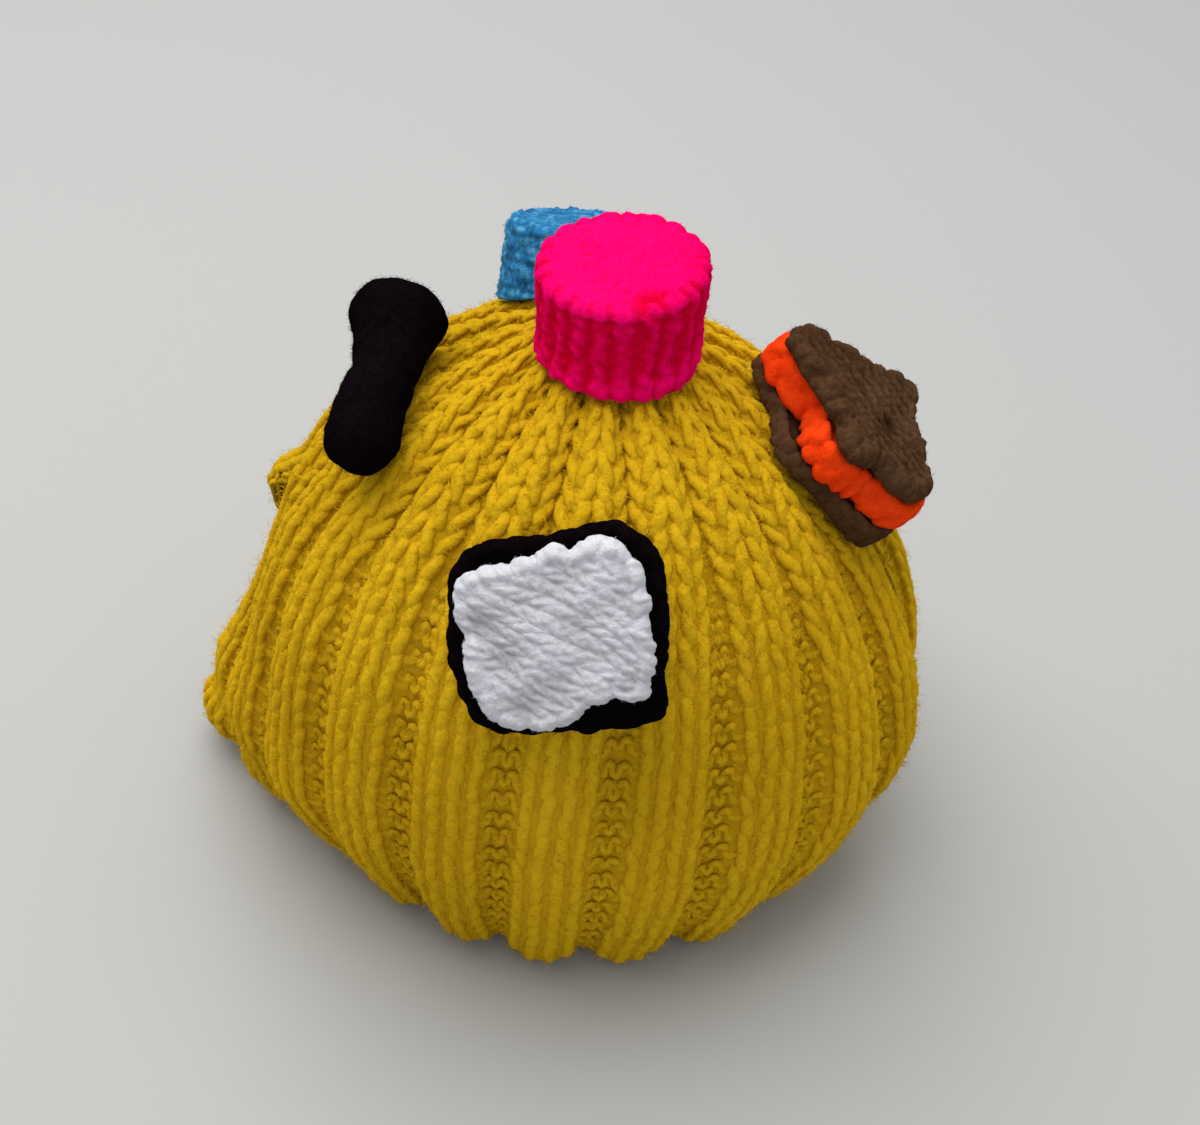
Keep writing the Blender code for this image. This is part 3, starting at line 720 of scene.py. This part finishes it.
def soft_noise(points, size, seed):
    """Smooth noise between about -1 and 1: a quarter of the sum of eight sine waves of a size, in random
    directions."""
    rng = np.random.default_rng(seed)
    total = np.zeros(points.shape[:-1])
    for _ in range(8):
        direction = unit(rng.normal(size=points.shape[-1])) * rng.uniform(0.7, 1.4)
        total += np.sin(2 * math.pi * (points @ direction) / size + rng.uniform(0, 2 * math.pi))
    return total / 4.0


def outline_radius(table, turn):
    """Distance to a square's edge in each direction: straight between the table's rows, then smoothed with a
    raised cosine."""
    degrees = np.arange(720) / 2.0
    rows = np.array(table)
    radius = np.interp(degrees, rows[:, 0], rows[:, 1], period=360.0)
    window = np.hanning(2 * OUTLINE_EVEN + 1)
    around = np.concatenate([radius[-OUTLINE_EVEN:], radius, radius[:OUTLINE_EVEN]])
    even = np.convolve(around, window / window.sum(), mode="valid")
    return np.interp(np.degrees(turn), degrees, even, period=360.0) * 0.001


def square_seat(seat):
    """Foot, normal, and the square's own across and down directions on the wall."""
    angle, height, turn, tilt_up, tilt_side, _ = seat
    foot, normal, level, upward = wall_seat(math.radians(angle), height)
    tip_up, tip_side = math.tan(math.radians(tilt_up)), math.tan(math.radians(tilt_side))
    normal = unit(normal + upward * tip_up + level * tip_side)
    level = unit(level - normal * np.dot(level, normal))
    upward = np.cross(normal, level)
    turn = math.radians(turn)
    across = level * math.cos(turn) + upward * math.sin(turn)
    down = level * math.sin(turn) - upward * math.cos(turn)
    return foot, normal, across, down


def square(name, material, seat, low, thickness, outline, relief, around, rings, lowest):
    """A knitted square lying between two heights over its seat. Rings run in the face from the middle to a
    rim that is a half ellipse, and back underneath. relief is a function of the unrolled place, the distance
    along the edge and the turn of the rim, from 0 on the face to 1 underneath."""
    foot, normal, across, down = square_seat(seat)
    bend = seat[5]
    turn = np.arange(around) * 2 * math.pi / around
    edge = outline_radius(outline, turn)
    half = thickness / 2 - LAYER_GAP / 2
    rolled = np.concatenate([np.zeros(rings), np.linspace(0.0, 1.0, RIM_RINGS)[1:-1], np.ones(UNDER_RINGS)])
    share = np.concatenate([np.linspace(FACE_INNER, 1.0, rings), np.ones(RIM_RINGS - 2),
                            np.linspace(1.0, UNDER_INNER, UNDER_RINGS)])
    inset = (edge - RIM_DEPTH) * share[:, None] + RIM_DEPTH * np.sin(math.pi * rolled)[:, None]
    reach = ((edge - RIM_DEPTH) * np.where(rolled < 1.0, share, 1.0)[:, None]
             + math.pi * rolled[:, None] * (RIM_DEPTH + half) / 2)
    spread = (inset * np.cos(turn))[..., None] * across + (inset * np.sin(turn))[..., None] * down
    droop = wall_distance(foot + spread, normal)
    even = (droop + wall_distance(foot - spread, normal)) / 2
    rise = low + thickness / 2 + bend * even + half * np.cos(math.pi * rolled)[:, None]
    if lowest:
        seated = np.minimum(droop + LAYER_GAP, rise + thickness * LOWEST_SQUEEZE)
        rise = rise + (seated - rise) * smooth((rolled[:, None] - 0.5) * 2)
    points = foot + spread + rise[..., None] * normal
    along_edge = np.cumsum(edge) * 2 * math.pi / around
    unrolled = np.stack([reach * np.cos(turn), reach * np.sin(turn)], axis=-1)
    lift = relief(unrolled, along_edge[None, :], rolled[:, None])
    top = foot + (low + thickness - LAYER_GAP / 2 + bend * even[0].mean()) * normal
    piece = closed_rings(name, material, points, top, points[-1].mean(axis=0), lift)
    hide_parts(name)
    return piece


def knobs(along_edge, rolled, pitch, rows):
    """Soft knobs round a rim: ellipsoids a pitch apart, in rows, every other row half a pitch on. Each is
    0.56 of a pitch wide and 0.75 of a row tall from its middle, so that neighbours run together."""
    best = 0.0
    for row in range(rows):
        middle = (row + 0.5) / rows
        beside = (along_edge / pitch + 0.5 * row) % 1.0 - 0.5
        above = (rolled - middle) * rows
        best = np.maximum(best, np.sqrt(np.clip(1.0 - (beside / 0.56) ** 2 - (above / 0.75) ** 2, 0.0, 1.0)))
    return best


def rim_knobs(place, along_edge, rolled, tall, pitch, rows, wobble=0.0, size=1.0, seed=0, steep=8.0):
    """Knobs that grow out of the face's edge, with a pitch made uneven by a wobble of a size."""
    uneven = along_edge + wobble * soft_noise(place, size, seed)
    return tall * knobs(uneven, rolled, pitch, rows) * smooth(rolled * steep)


def fades(rolled, start, steep):
    """1 up to a turn of the rim, and from there down to 0 by a smoothstep as steep as this."""
    return 1.0 - smooth((rolled - start) * steep)


def slanted_stitches(place, direction, width, height, wander, seed, plain_share=0.4):
    """Stocking stitch whose columns run in a direction (degrees from across towards down), wandering a
    little, with a share of plain ridges: the root of a sine's size, two to a column."""
    turn = math.radians(direction)
    column = -place[..., 0] * math.sin(turn) + place[..., 1] * math.cos(turn)
    row = place[..., 0] * math.cos(turn) + place[..., 1] * math.sin(turn)
    column = column + wander * soft_noise(place, 0.022, seed)
    row = row + wander * soft_noise(place, 0.016, seed + 1)
    ridges = np.sqrt(np.abs(np.sin(2 * math.pi * column / width)))
    return (1.0 - plain_share) * stocking(column / width, row / height) + plain_share * ridges


def dent(place, x, y, wide, depth):
    """A soft hollow: minus a Gaussian of a width and depth."""
    return -depth * np.exp(-((place[..., 0] - x) ** 2 + (place[..., 1] - y) ** 2) / wide ** 2)


def white_relief(place, along_edge, rolled):
    """Slanted stitches, soft swells, a few hollows, and knobs on the rim, all fading underneath."""
    stitches = 0.00050 * slanted_stitches(place, direction=40.0, width=0.0052, height=0.0036, wander=0.0014,
                                          seed=31, plain_share=0.28)
    fluff = 0.00013 * soft_noise(place, size=0.0022, seed=34)
    swells = 0.0006 * soft_noise(place, size=0.011, seed=32)
    hollows = (dent(place, -0.0140, -0.0040, wide=0.0030, depth=0.0011)
               + dent(place, -0.0085, 0.0130, wide=0.0032, depth=0.0010)
               + dent(place, 0.0150, -0.0015, wide=0.0020, depth=0.0009))
    rim = rim_knobs(place, along_edge, rolled, tall=0.0011, pitch=0.0058, rows=1,
                    wobble=0.0012, size=0.012, seed=35)
    return (stitches + fluff + swells + hollows + rim - 0.0006) * fades(rolled, 0.55, 3)


def knobbed_relief(place, along_edge, rolled):
    """Two rows of knobs on the rim and a little unevenness: the black layer and the white one under it."""
    rim = rim_knobs(place, along_edge, rolled, tall=0.0016, pitch=0.0056, rows=2,
                    wobble=0.0010, size=0.013, seed=42)
    return (rim + 0.0002 * soft_noise(place, size=0.007, seed=41) - 0.0006) * fades(rolled, 0.8, 5)


def tufted_relief(place, along_edge, rolled):
    """Small uneven knobs round the edge, like pinched tufts: the lower brown square."""
    rim = rim_knobs(place, along_edge, rolled, tall=0.0014, pitch=0.0038, rows=2,
                    wobble=0.0008, size=0.008, seed=71)
    return (rim + 0.0004 * soft_noise(place, size=0.005, seed=72) - 0.0007) * fades(rolled, 0.8, 5)


def brown_relief(place, along_edge, rolled):
    """Wandering stitches with plain ridges between them, a gather near the middle, and a knobbed rim."""
    stitches = 0.0012 * slanted_stitches(place, direction=-38.0, width=0.0072, height=0.0050, wander=0.0016,
                                         seed=51, plain_share=0.5)
    fluff = 0.00018 * soft_noise(place, size=0.0021, seed=53)
    swells = 0.0004 * soft_noise(place, size=0.014, seed=52)
    gather = dent(place, -0.0040, 0.0010, wide=0.0030, depth=0.0012)
    rim = rim_knobs(place, along_edge, rolled, tall=0.0013, pitch=0.0052, rows=1)
    return (stitches + fluff + swells + gather + rim - 0.0007) * fades(rolled, 0.55, 3)


def orange_relief(place, along_edge, rolled):
    """Two staggered rows of fat knobs round the edge."""
    rim = rim_knobs(place, along_edge, rolled, tall=0.0018, pitch=0.0044, rows=2,
                    wobble=0.0012, size=0.014, seed=61, steep=9.0) * smooth((1.0 - rolled) * 9)
    swells = 0.0003 * soft_noise(place, size=0.0045, seed=62)
    fluff = 0.0001 * soft_noise(place, size=0.0017, seed=63)
    return rim + swells + fluff - 0.0009


#        direction in degrees from across (right) towards down, distance to the edge in millimetres
WHITE_OUTLINE = (
    (5, 16.1), (22, 17.8), (47, 19.6), (56, 15.3), (72, 14.0), (90, 15.9), (118, 18.9), (136, 20.1),
    (150, 19.0), (172, 16.9), (186, 16.5), (205, 19.8), (220, 20.7), (238, 16.2), (262, 15.0),
    (278, 16.9), (288, 15.4), (305, 19.6), (322, 20.5), (340, 17.5),
)
BLACK_OUTLINE = (
    (12, 19.7), (35, 20.8), (50, 25.8), (68, 21.4), (97, 18.9), (116, 20.4), (136, 23.8), (158, 21.6),
    (188, 20.3), (200, 20.1), (213, 22.4), (232, 22.0), (248, 18.9), (272, 17.0), (290, 18.9),
    (308, 22.6), (330, 22.9), (350, 20.2),
)
WHITE_BACK_OUTLINE = (
    (2, 19.0), (20, 19.6), (46, 22.0), (70, 19.4), (92, 18.6), (112, 19.6), (134, 23.0), (160, 19.4),
    (184, 18.6), (205, 19.0), (228, 19.8), (248, 16.8), (270, 15.9), (292, 17.0), (316, 21.4), (340, 18.8),
)
BROWN_OUTLINE = (
    (2, 10.6), (29, 12.8), (52, 20.0), (69, 12.5), (89, 10.4), (119, 12.4), (144, 17.9), (167, 19.2),
    (180, 17.6), (195, 14.0), (218, 19.2), (241, 14.6), (267, 16.4), (284, 20.8), (296, 24.6),
    (310, 20.6), (322, 16.0), (340, 11.6),
)
ORANGE_OUTLINE = (
    (0, 18.9), (22, 19.8), (45, 23.2), (68, 19.8), (90, 18.9), (112, 19.4), (135, 21.8), (155, 21.7),
    (180, 16.2), (200, 16.4), (216, 18.2), (228, 17.8), (242, 16.9), (256, 13.4), (270, 12.4),
    (287, 18.8), (302, 24.1), (320, 23.0), (340, 19.8),
)
BROWN_BACK_OUTLINE = (
    (0, 18.0), (22, 19.2), (45, 22.2), (68, 18.6), (90, 17.6), (112, 19.0), (135, 22.3), (158, 21.8),
    (180, 17.4), (203, 14.9), (228, 16.8), (246, 18.4), (268, 16.2), (284, 16.4), (312, 23.2),
    (338, 19.2),
)
#        angle on the wall, height, turn in its own plane, tilt up and to the side (degrees), and how much it
#        bends with the wall
WHITE_SEAT = (-84.3, 0.1080, 14.0, 0.0, 0.0, 0.45)
BROWN_SEAT = (-2.0, 0.1113, 25.0, 6.0, 1.0, 0.30)

#        name, wool, thickness, outline, relief, points round the edge, and rings in the face
WHITE_STACK = (
    ("white_back", WHITE, 0.0042, WHITE_BACK_OUTLINE, knobbed_relief, 216, 10),
    ("black", BLACK, 0.0048, BLACK_OUTLINE, knobbed_relief, 288, 16),
    ("white_front", WHITE, 0.0048, WHITE_OUTLINE, white_relief, 360, 48),
)
BROWN_STACK = (
    ("brown_back", BROWN, 0.0046, BROWN_BACK_OUTLINE, tufted_relief, 300, 14),
    ("orange", ORANGE, 0.0080, ORANGE_OUTLINE, orange_relief, 360, 16),
    ("brown_front", BROWN, 0.0050, BROWN_OUTLINE, brown_relief, 360, 48),
)


def stack(seat, layers):
    """Squares lying on each other, from the wall outward."""
    pieces, low = [], 0.0
    for name, material, thickness, outline, relief, around, rings in layers:
        piece = square("sweet_square_" + name, material, seat, low, thickness, outline, relief, around, rings,
                       lowest=not pieces)
        pieces.append(piece)
        low += thickness
    return pieces


def drum(name, material, foot, axis, radius, height, shift, taper, relief, around, rows, shade):
    """A short drum on the crown. Rings climb its side, turn over a quarter-round edge and close on the top;
    below, they follow the wall. The foot stands off by a shift and is narrower by a taper. relief is a
    function of the turn, the height along the side, the share of the radius and the kind of ring."""
    axis = unit(np.array(axis))
    sideways = unit(np.cross(BACKWARD, axis))
    forward = np.cross(axis, sideways)
    turn = np.arange(around) * 2 * math.pi / around
    spoke = np.cos(turn)[:, None] * sideways + np.sin(turn)[:, None] * forward
    start = settle(np.array([*foot, CROWN_HEIGHT]), axis)
    shift = np.array([*shift, 0.0])
    low = settle(start + shift + spoke * (radius * (1.0 - taper) * DRUM_UNDER)[:, None, None], axis)
    low = low + LAYER_GAP * axis
    foot_level = (low[-1] - start) @ axis
    climbed = np.linspace(0.0, 1.0, rows[0] + 1)[1:, None]
    level = foot_level * (1 - climbed) + (height - DRUM_EDGE) * climbed
    yet = ((1.0 - climbed) ** DRUM_SETTLE)[..., None]
    side = start + spoke * radius * (1.0 - taper * yet) + level[..., None] * axis
    side = side + (shift - axis * np.dot(shift, axis)) * yet
    arc = np.linspace(0.0, math.pi / 2, rows[1] + 1)[1:]
    edge_radius = radius - DRUM_EDGE * (1 - np.cos(arc))
    edge_level = (height - DRUM_EDGE * (1 - np.sin(arc)))[:, None]
    edge = start + spoke * edge_radius[:, None, None] + edge_level[..., None] * axis
    top_radius = (radius - DRUM_EDGE) * np.linspace(1.0, FACE_INNER, rows[2] + 1)[1:]
    top = start + spoke * top_radius[:, None, None] + height * axis
    inward = np.concatenate([DRUM_UNDER, np.ones(rows[0]), edge_radius / radius, top_radius / radius])
    upward = np.concatenate([np.broadcast_to(part, rings.shape[:2]) for part, rings in
                             ((foot_level, low), (level, side), (edge_level, edge), (height, top))])
    kind = np.repeat([UNDER, SIDE, EDGE, TOP], [len(DRUM_UNDER), *rows])
    lift = relief(turn[None, :], upward, inward[:, None], kind[:, None])
    lift[kind == UNDER] = 0.0
    # painted shade on the drum: full on its side, part of it on the rounded edge, none on the top
    piece = closed_rings(name, material, np.concatenate([low, side, edge, top]), low[0].mean(axis=0),
                         start + height * axis, lift,
                         shade * np.select([kind == TOP, kind == EDGE], [0.0, EDGE_PAINTED_SHADE], 1.0))
    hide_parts(name)
    return piece


def drum_place(turn, upward, inward, radius):
    """Place in a drum's own space for a turn, a height and a share of its radius."""
    x, y = inward * radius * np.cos(turn), inward * radius * np.sin(turn)
    return np.stack(np.broadcast_arrays(x, y, upward), axis=-1)


def pink_relief(turn, upward, inward, kind):
    """Uneven felted ribs up the side, whose foot flares, and a nearly smooth top with a scalloped rim and a
    hollow. The edge between them is a little of each."""
    place = drum_place(turn, upward, inward, PINK_RADIUS)[..., :2]
    wall = drum_place(turn, 0.35 * upward, 1.0, PINK_RADIUS)
    columns = (turn / (2 * math.pi) * PINK_RIBS + 0.26 * soft_noise(wall, size=0.009, seed=83)
               + 0.12 * soft_noise(wall * np.array([1.0, 1.0, 4.0]), size=0.005, seed=85))
    tufts = soft_noise(wall * np.array([1.0, 1.0, 3.0]), size=0.0028, seed=84)
    side = 0.0010 * np.abs(np.sin(math.pi * columns)) ** 1.2 + 0.00028 * tufts
    flare = 0.0009 * np.exp(-(upward / 0.0030) ** 2)
    stitches = 0.00022 * slanted_stitches(place, direction=62.0, width=0.0060, height=0.0045, wander=0.0012,
                                          seed=81)
    swells = 0.00025 * soft_noise(place, size=0.011, seed=82)
    fluff = 0.00012 * soft_noise(place, size=0.0024, seed=86)
    hollow = (dent(place, 0.0075, -0.0115, wide=0.0024, depth=0.0012)
              + dent(place, 0.0102, -0.0092, wide=0.0020, depth=0.0007))
    top = stitches + swells + fluff + hollow + 0.0007
    scallop = 0.00018 * np.sqrt(np.abs(np.sin(math.pi * columns)))
    rim = np.exp(-((inward - 0.93) / 0.06) ** 2)
    of_side = np.select([kind == TOP, kind == EDGE], [0.0, 0.6], 1.0)
    of_top = np.select([kind == TOP, kind == EDGE], [1.0, 0.5], 0.0)
    scalloped = np.select([kind == TOP, kind == EDGE], [rim, 1.0], 0.0)
    return (side + flare) * of_side + top * of_top + scallop * scalloped - 0.0004


def blue_relief(turn, upward, inward, kind):
    """Small bobbles up the side, in staggered rows, and unevenness all over."""
    row = upward / BLUE_ROW
    beside = turn * BLUE_RADIUS / BLUE_PAIR + 0.5 * np.floor(row)
    bobbles = np.abs(np.sin(2 * math.pi * beside) * np.sin(math.pi * row)) * np.where(kind == TOP, 0.0, 1.0)
    place = drum_place(turn, upward, inward, BLUE_RADIUS)
    return 0.00035 * bobbles + 0.00035 * soft_noise(place, size=0.0032, seed=91)


def drums():
    """The pink drum in the middle of the crown and the blue one behind it."""
    # the pink drum's side is given painted shade, darker and redder than its lit top
    pink = drum("sweet_drum_pink", PINK, foot=(0.0102, -0.0082), axis=(-0.065, -0.06, 1.0),
                radius=PINK_RADIUS, height=PINK_HEIGHT, shift=(-0.0010, -0.0034), taper=0.10,
                relief=pink_relief, around=320, rows=(48, 8, 36), shade=0.72)
    blue = drum("sweet_drum_blue", BLUE, foot=(-0.0065, 0.0212), axis=(-0.09, 0.38, 0.92),
                radius=BLUE_RADIUS, height=BLUE_HEIGHT, shift=(-0.0012, 0.0), taper=-0.04,
                relief=blue_relief, around=240, rows=(36, 8, 26), shade=0.0)
    return [pink, blue]


#        angle (degrees) and height of the roll's foot on the wall, radius of the roll there
ROLL_COURSE = (
    (-135.2, 0.1178, 0.0077),
    (-142.0, 0.1199, 0.0074),
    (-150.5, 0.1212, 0.0069),
    (-160.0, 0.1216, 0.0082),
    (-169.5, 0.1220, 0.0104),
)


def smooth_course(rows, steps):
    """A smooth curve through a few equally spaced rows: a cubic in each span, from its four neighbours."""
    rows = np.asarray(rows, dtype=float)
    padded = np.concatenate([[2 * rows[0] - rows[1]], rows, [2 * rows[-1] - rows[-2]]])
    place = np.linspace(0.0, len(rows) - 1, steps)
    span = np.minimum(place.astype(int), len(rows) - 2)
    t = (place - span)[:, None]
    a, b, c, d = (padded[span + k] for k in range(4))
    return (b + t * (c - a) / 2 + t * t * (a - 2.5 * b + 2 * c - d / 2)
            + t ** 3 * (1.5 * b - 1.5 * c + d / 2 - a / 2))


def roll():
    """The black roll: rings of a changing radius carried along its course, with half-ellipsoid ends."""
    feet = []
    for angle, height, radius in ROLL_COURSE:
        point, normal, _, _ = wall_seat(math.radians(angle), height)
        feet.append([*(point + normal * (radius + LAYER_GAP)), radius])
    course = smooth_course(feet, ROLL_RINGS)
    middle, radius = course[:, :3], course[:, 3] - ROLL_INSET
    along = unit(np.gradient(middle, axis=0))
    across = unit(np.cross(along, UP))
    first_tip, last_tip = ROLL_TIP * radius[0], ROLL_TIP * ROLL_TOP_FLAT * radius[-1]
    cap = np.linspace(ROLL_TIP_INNER, 1.0, ROLL_TIP_RINGS + 1)[:-1] * math.pi / 2
    share = np.concatenate([np.sin(cap), np.ones(ROLL_RINGS), np.sin(cap[::-1])])
    tips = np.concatenate([-np.cos(cap) * first_tip, np.zeros(ROLL_RINGS), np.cos(cap[::-1]) * last_tip])
    row = np.clip(np.arange(len(share)) - ROLL_TIP_RINGS, 0, ROLL_RINGS - 1)
    spoke = spokes(ROLL_SIDES, across[row], np.cross(across, along)[row])
    centre = middle[row] + along[row] * tips[:, None]
    rings = centre[:, None, :] + spoke * (radius[row] * share)[:, None, None]
    relief = (0.00025 * soft_noise(rings, size=0.009, seed=101)
              + 0.00015 * soft_noise(rings, size=0.003, seed=102))
    piece = closed_rings("sweet_roll_black", BLACK, rings, middle[0] - along[0] * first_tip,
                         middle[-1] + along[-1] * last_tip, relief)
    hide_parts("sweet_roll_black")
    return piece


SQUARES = stack(WHITE_SEAT, WHITE_STACK) + stack(BROWN_SEAT, BROWN_STACK)
DRUMS = drums()
ROLL = roll()


# ---- Fuzz ----------------------------------------------------------------------------------
MIDDLE = np.array([0.0, 0.0, 0.050])             # outward is away from here
FUZZ_LOWEST = 0.0002         # no fibre reaches under this height
FUZZ_ROOT = 0.00015          # how deep a fibre starts under the surface
FUZZ_SLOPE = (0.3, 2.6)      # how far it leans, as the tangent of its angle from the normal
FUZZ_REACH = (0.4, 1.3)      # and how its length varies
#        length of the fibres, radius of their roots, and how far outward a face has to look, on the yarn and
#        on the sweets
YARN_FUZZ = (0.0024, 0.00008, 0.1)
SWEET_FUZZ = (0.0011, 0.00005, -0.15)
#        number of fibres on the front's lower and upper strand, and on the back's
YARN_FIBRES = (19000, 17000, 11000, 10000)
#        colour, number of fibres and their share of the length above, in the order of the sweets
SWEET_FIBRES = (
    ("white", 200, 0.7), ("black", 1000, 1.0), ("white", 1200, 0.6),
    ("brown", 800, 1.0), ("orange", 1100, 1.0), ("brown", 2200, 1.0),
    ("pink", 2600, 1.0), ("blue", 1300, 1.0), ("black", 2800, 1.0),
)


def face_values(mesh, kind, width):
    """One value, or three, for each face of a mesh."""
    values = np.zeros(len(mesh.polygons) * width, np.float32)
    mesh.polygons.foreach_get(kind, values)
    return values.reshape(-1, width).astype(float)


def fuzz(piece, kind, material, count, share, make, seed):
    """Loose fibres on a piece, named like it with fuzz for its kind. make is their length, the radius of
    their roots, and how far outward a face has to look. Each fibre starts at a random place of a face picked
    by its area, leans away from the normal at random, and is a three-sided spike."""
    rng = np.random.default_rng(seed)
    length, thickness, facing = make
    area = face_values(piece.data, "area", 1)[:, 0]
    places = face_values(piece.data, "center", 3) - AXIS
    normals = face_values(piece.data, "normal", 3)
    open_area = area * (np.einsum("ij,ij->i", unit(places - MIDDLE), normals) > facing)
    chosen = rng.choice(len(area), count, p=open_area / open_area.sum())
    normal = normals[chosen]
    lean = unit(rng.normal(size=(count, 3)))
    lean = unit(lean - normal * np.einsum("ij,ij->i", lean, normal)[:, None])
    along = unit(normal + lean * rng.uniform(*FUZZ_SLOPE, (count, 1)))
    reach = length * share * rng.uniform(*FUZZ_REACH, (count, 1))
    strewn = np.sqrt(area[chosen])[:, None] * rng.uniform(-0.5, 0.5, (count, 3))
    root = places[chosen] - normal * FUZZ_ROOT + strewn
    side = unit(np.cross(along, normal + 0.3 * lean))
    spoke = spokes(3, side, np.cross(along, side))
    points = np.concatenate([root[:, None] + spoke * thickness, (root + along * reach)[:, None]], axis=1)
    points[..., 2] = np.maximum(points[..., 2], FUZZ_LOWEST)
    corners = np.array([[0, 1, 3], [1, 2, 3], [2, 0, 3], [0, 2, 1]])
    triangles = (np.arange(count)[:, None, None] * 4 + corners).reshape(-1, 3)
    hair = new_piece(piece.name.replace(kind, "fuzz"), material, points.reshape(-1, 3),
                     np.zeros((0, 4), int), triangles)
    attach(hair, "root")


def all_fuzz():
    """Fibres on the yarn and on each sweet."""
    for yarn, count in zip([*FRONT_YARN, *BACK_YARN], YARN_FIBRES):
        fuzz(yarn, "yarn", YELLOW_FUZZ_LIT, count, 1.0, YARN_FUZZ, seed=201 + count)
    for sweet, (colour, count, share) in zip([*SQUARES, *DRUMS, ROLL], SWEET_FIBRES):
        fuzz(sweet, "sweet", sweet.data.materials[0], count, share, SWEET_FUZZ,
             seed=301 + count)


# ---- Floor, light and camera ---------------------------------------------------------------
FLOOR_REACH = 1.5
FLOOR_COLOUR = (0.43, 0.43, 0.42)
FLOOR_ROUGHNESS = 0.8
SKY_COLOUR = (0.93, 0.97, 1.0)
SKY_STRENGTH = 0.58
#        name, place, target, size, power in watts, colour
LIGHTS = (
    ("key", (-0.22, 0.14, 1.05), (0.0, 0.0, 0.08), 1.1, 13.4, (1.0, 0.985, 0.96)),
    ("fill", (0.3, -0.9, 0.7), (0.0, 0.0, 0.06), 0.9, 0.6, (0.97, 0.98, 1.0)),
)


def floor():
    """A plain pale floor, three metres across."""
    material = bpy.data.materials.new("floor")
    material.use_nodes = True
    shader = material.node_tree.nodes["Principled BSDF"]
    shader.inputs["Base Color"].default_value = (*FLOOR_COLOUR, 1.0)
    shader.inputs["Roughness"].default_value = FLOOR_ROUGHNESS
    corners = FLOOR_REACH * np.array([[-1.0, -1.0, 0.0], [1.0, -1.0, 0.0], [1.0, 1.0, 0.0], [-1.0, 1.0, 0.0]])
    new_piece("floor", material, corners, np.array([[0, 1, 2, 3]]))


def stand(name, data, place, right, up, back):
    """A light or camera at a place, with its own right, up and back directions."""
    thing = bpy.data.objects.new(name, data)
    bpy.context.scene.collection.objects.link(thing)
    turned = np.column_stack([right, up, back, place])
    thing.matrix_world = Matrix(np.vstack([turned, [0.0, 0.0, 0.0, 1.0]]).tolist())
    return thing


def area_light(name, place, target, size, power, colour):
    """A square soft light at a place, facing a target."""
    data = bpy.data.lights.new(name, "AREA")
    data.size = size
    data.energy = power
    data.color = colour
    back = unit(np.array(place) - np.array(target))
    right = unit(np.cross(UP, back))
    stand(name, data, place, right, np.cross(back, right), back)


def studio():
    """Soft light from above and a little behind, with a pale sky all round, in plain colours."""
    bpy.context.scene.view_settings.view_transform = "Standard"
    world = bpy.data.worlds.new("studio")
    world.use_nodes = True
    sky = world.node_tree.nodes["Background"]
    sky.inputs["Color"].default_value = (*SKY_COLOUR, 1.0)
    sky.inputs["Strength"].default_value = SKY_STRENGTH
    bpy.context.scene.world = world
    for light in LIGHTS:
        area_light(*light)


CAMERA_DISTANCE = 0.450
CAMERA_ELEVATION = math.radians(42)
CAMERA_AZIMUTH = math.radians(7)
CAMERA_ROLL = math.radians(4.85)
CAMERA_TARGET_SIDE = 0.0083
CAMERA_TARGET_HEIGHT = 0.0675
FOCAL_PIXELS = 1997.0
PHOTO_WIDTH = 1200.0
SENSOR = 36.0


def camera():
    """The photograph's viewpoint, turned a little about its own line of sight."""
    cos_az, sin_az = math.cos(CAMERA_AZIMUTH), math.sin(CAMERA_AZIMUTH)
    cos_el, sin_el = math.cos(CAMERA_ELEVATION), math.sin(CAMERA_ELEVATION)
    back = np.array([sin_az * cos_el, -cos_az * cos_el, sin_el])
    right = np.array([cos_az, sin_az, 0.0])
    up = np.cross(back, right)
    rolled_right = right * math.cos(CAMERA_ROLL) + up * math.sin(CAMERA_ROLL)
    rolled_up = -right * math.sin(CAMERA_ROLL) + up * math.cos(CAMERA_ROLL)
    target = right * CAMERA_TARGET_SIDE + UP * CAMERA_TARGET_HEIGHT
    place = target + back * CAMERA_DISTANCE + AXIS
    data = bpy.data.cameras.new("camera")
    data.sensor_fit = "HORIZONTAL"
    data.sensor_width = SENSOR
    data.lens = FOCAL_PIXELS / PHOTO_WIDTH * SENSOR
    data.clip_start = 0.01
    bpy.context.scene.camera = stand("camera", data, place, rolled_right, rolled_up, back)


all_fuzz()
floor()
studio()
camera()
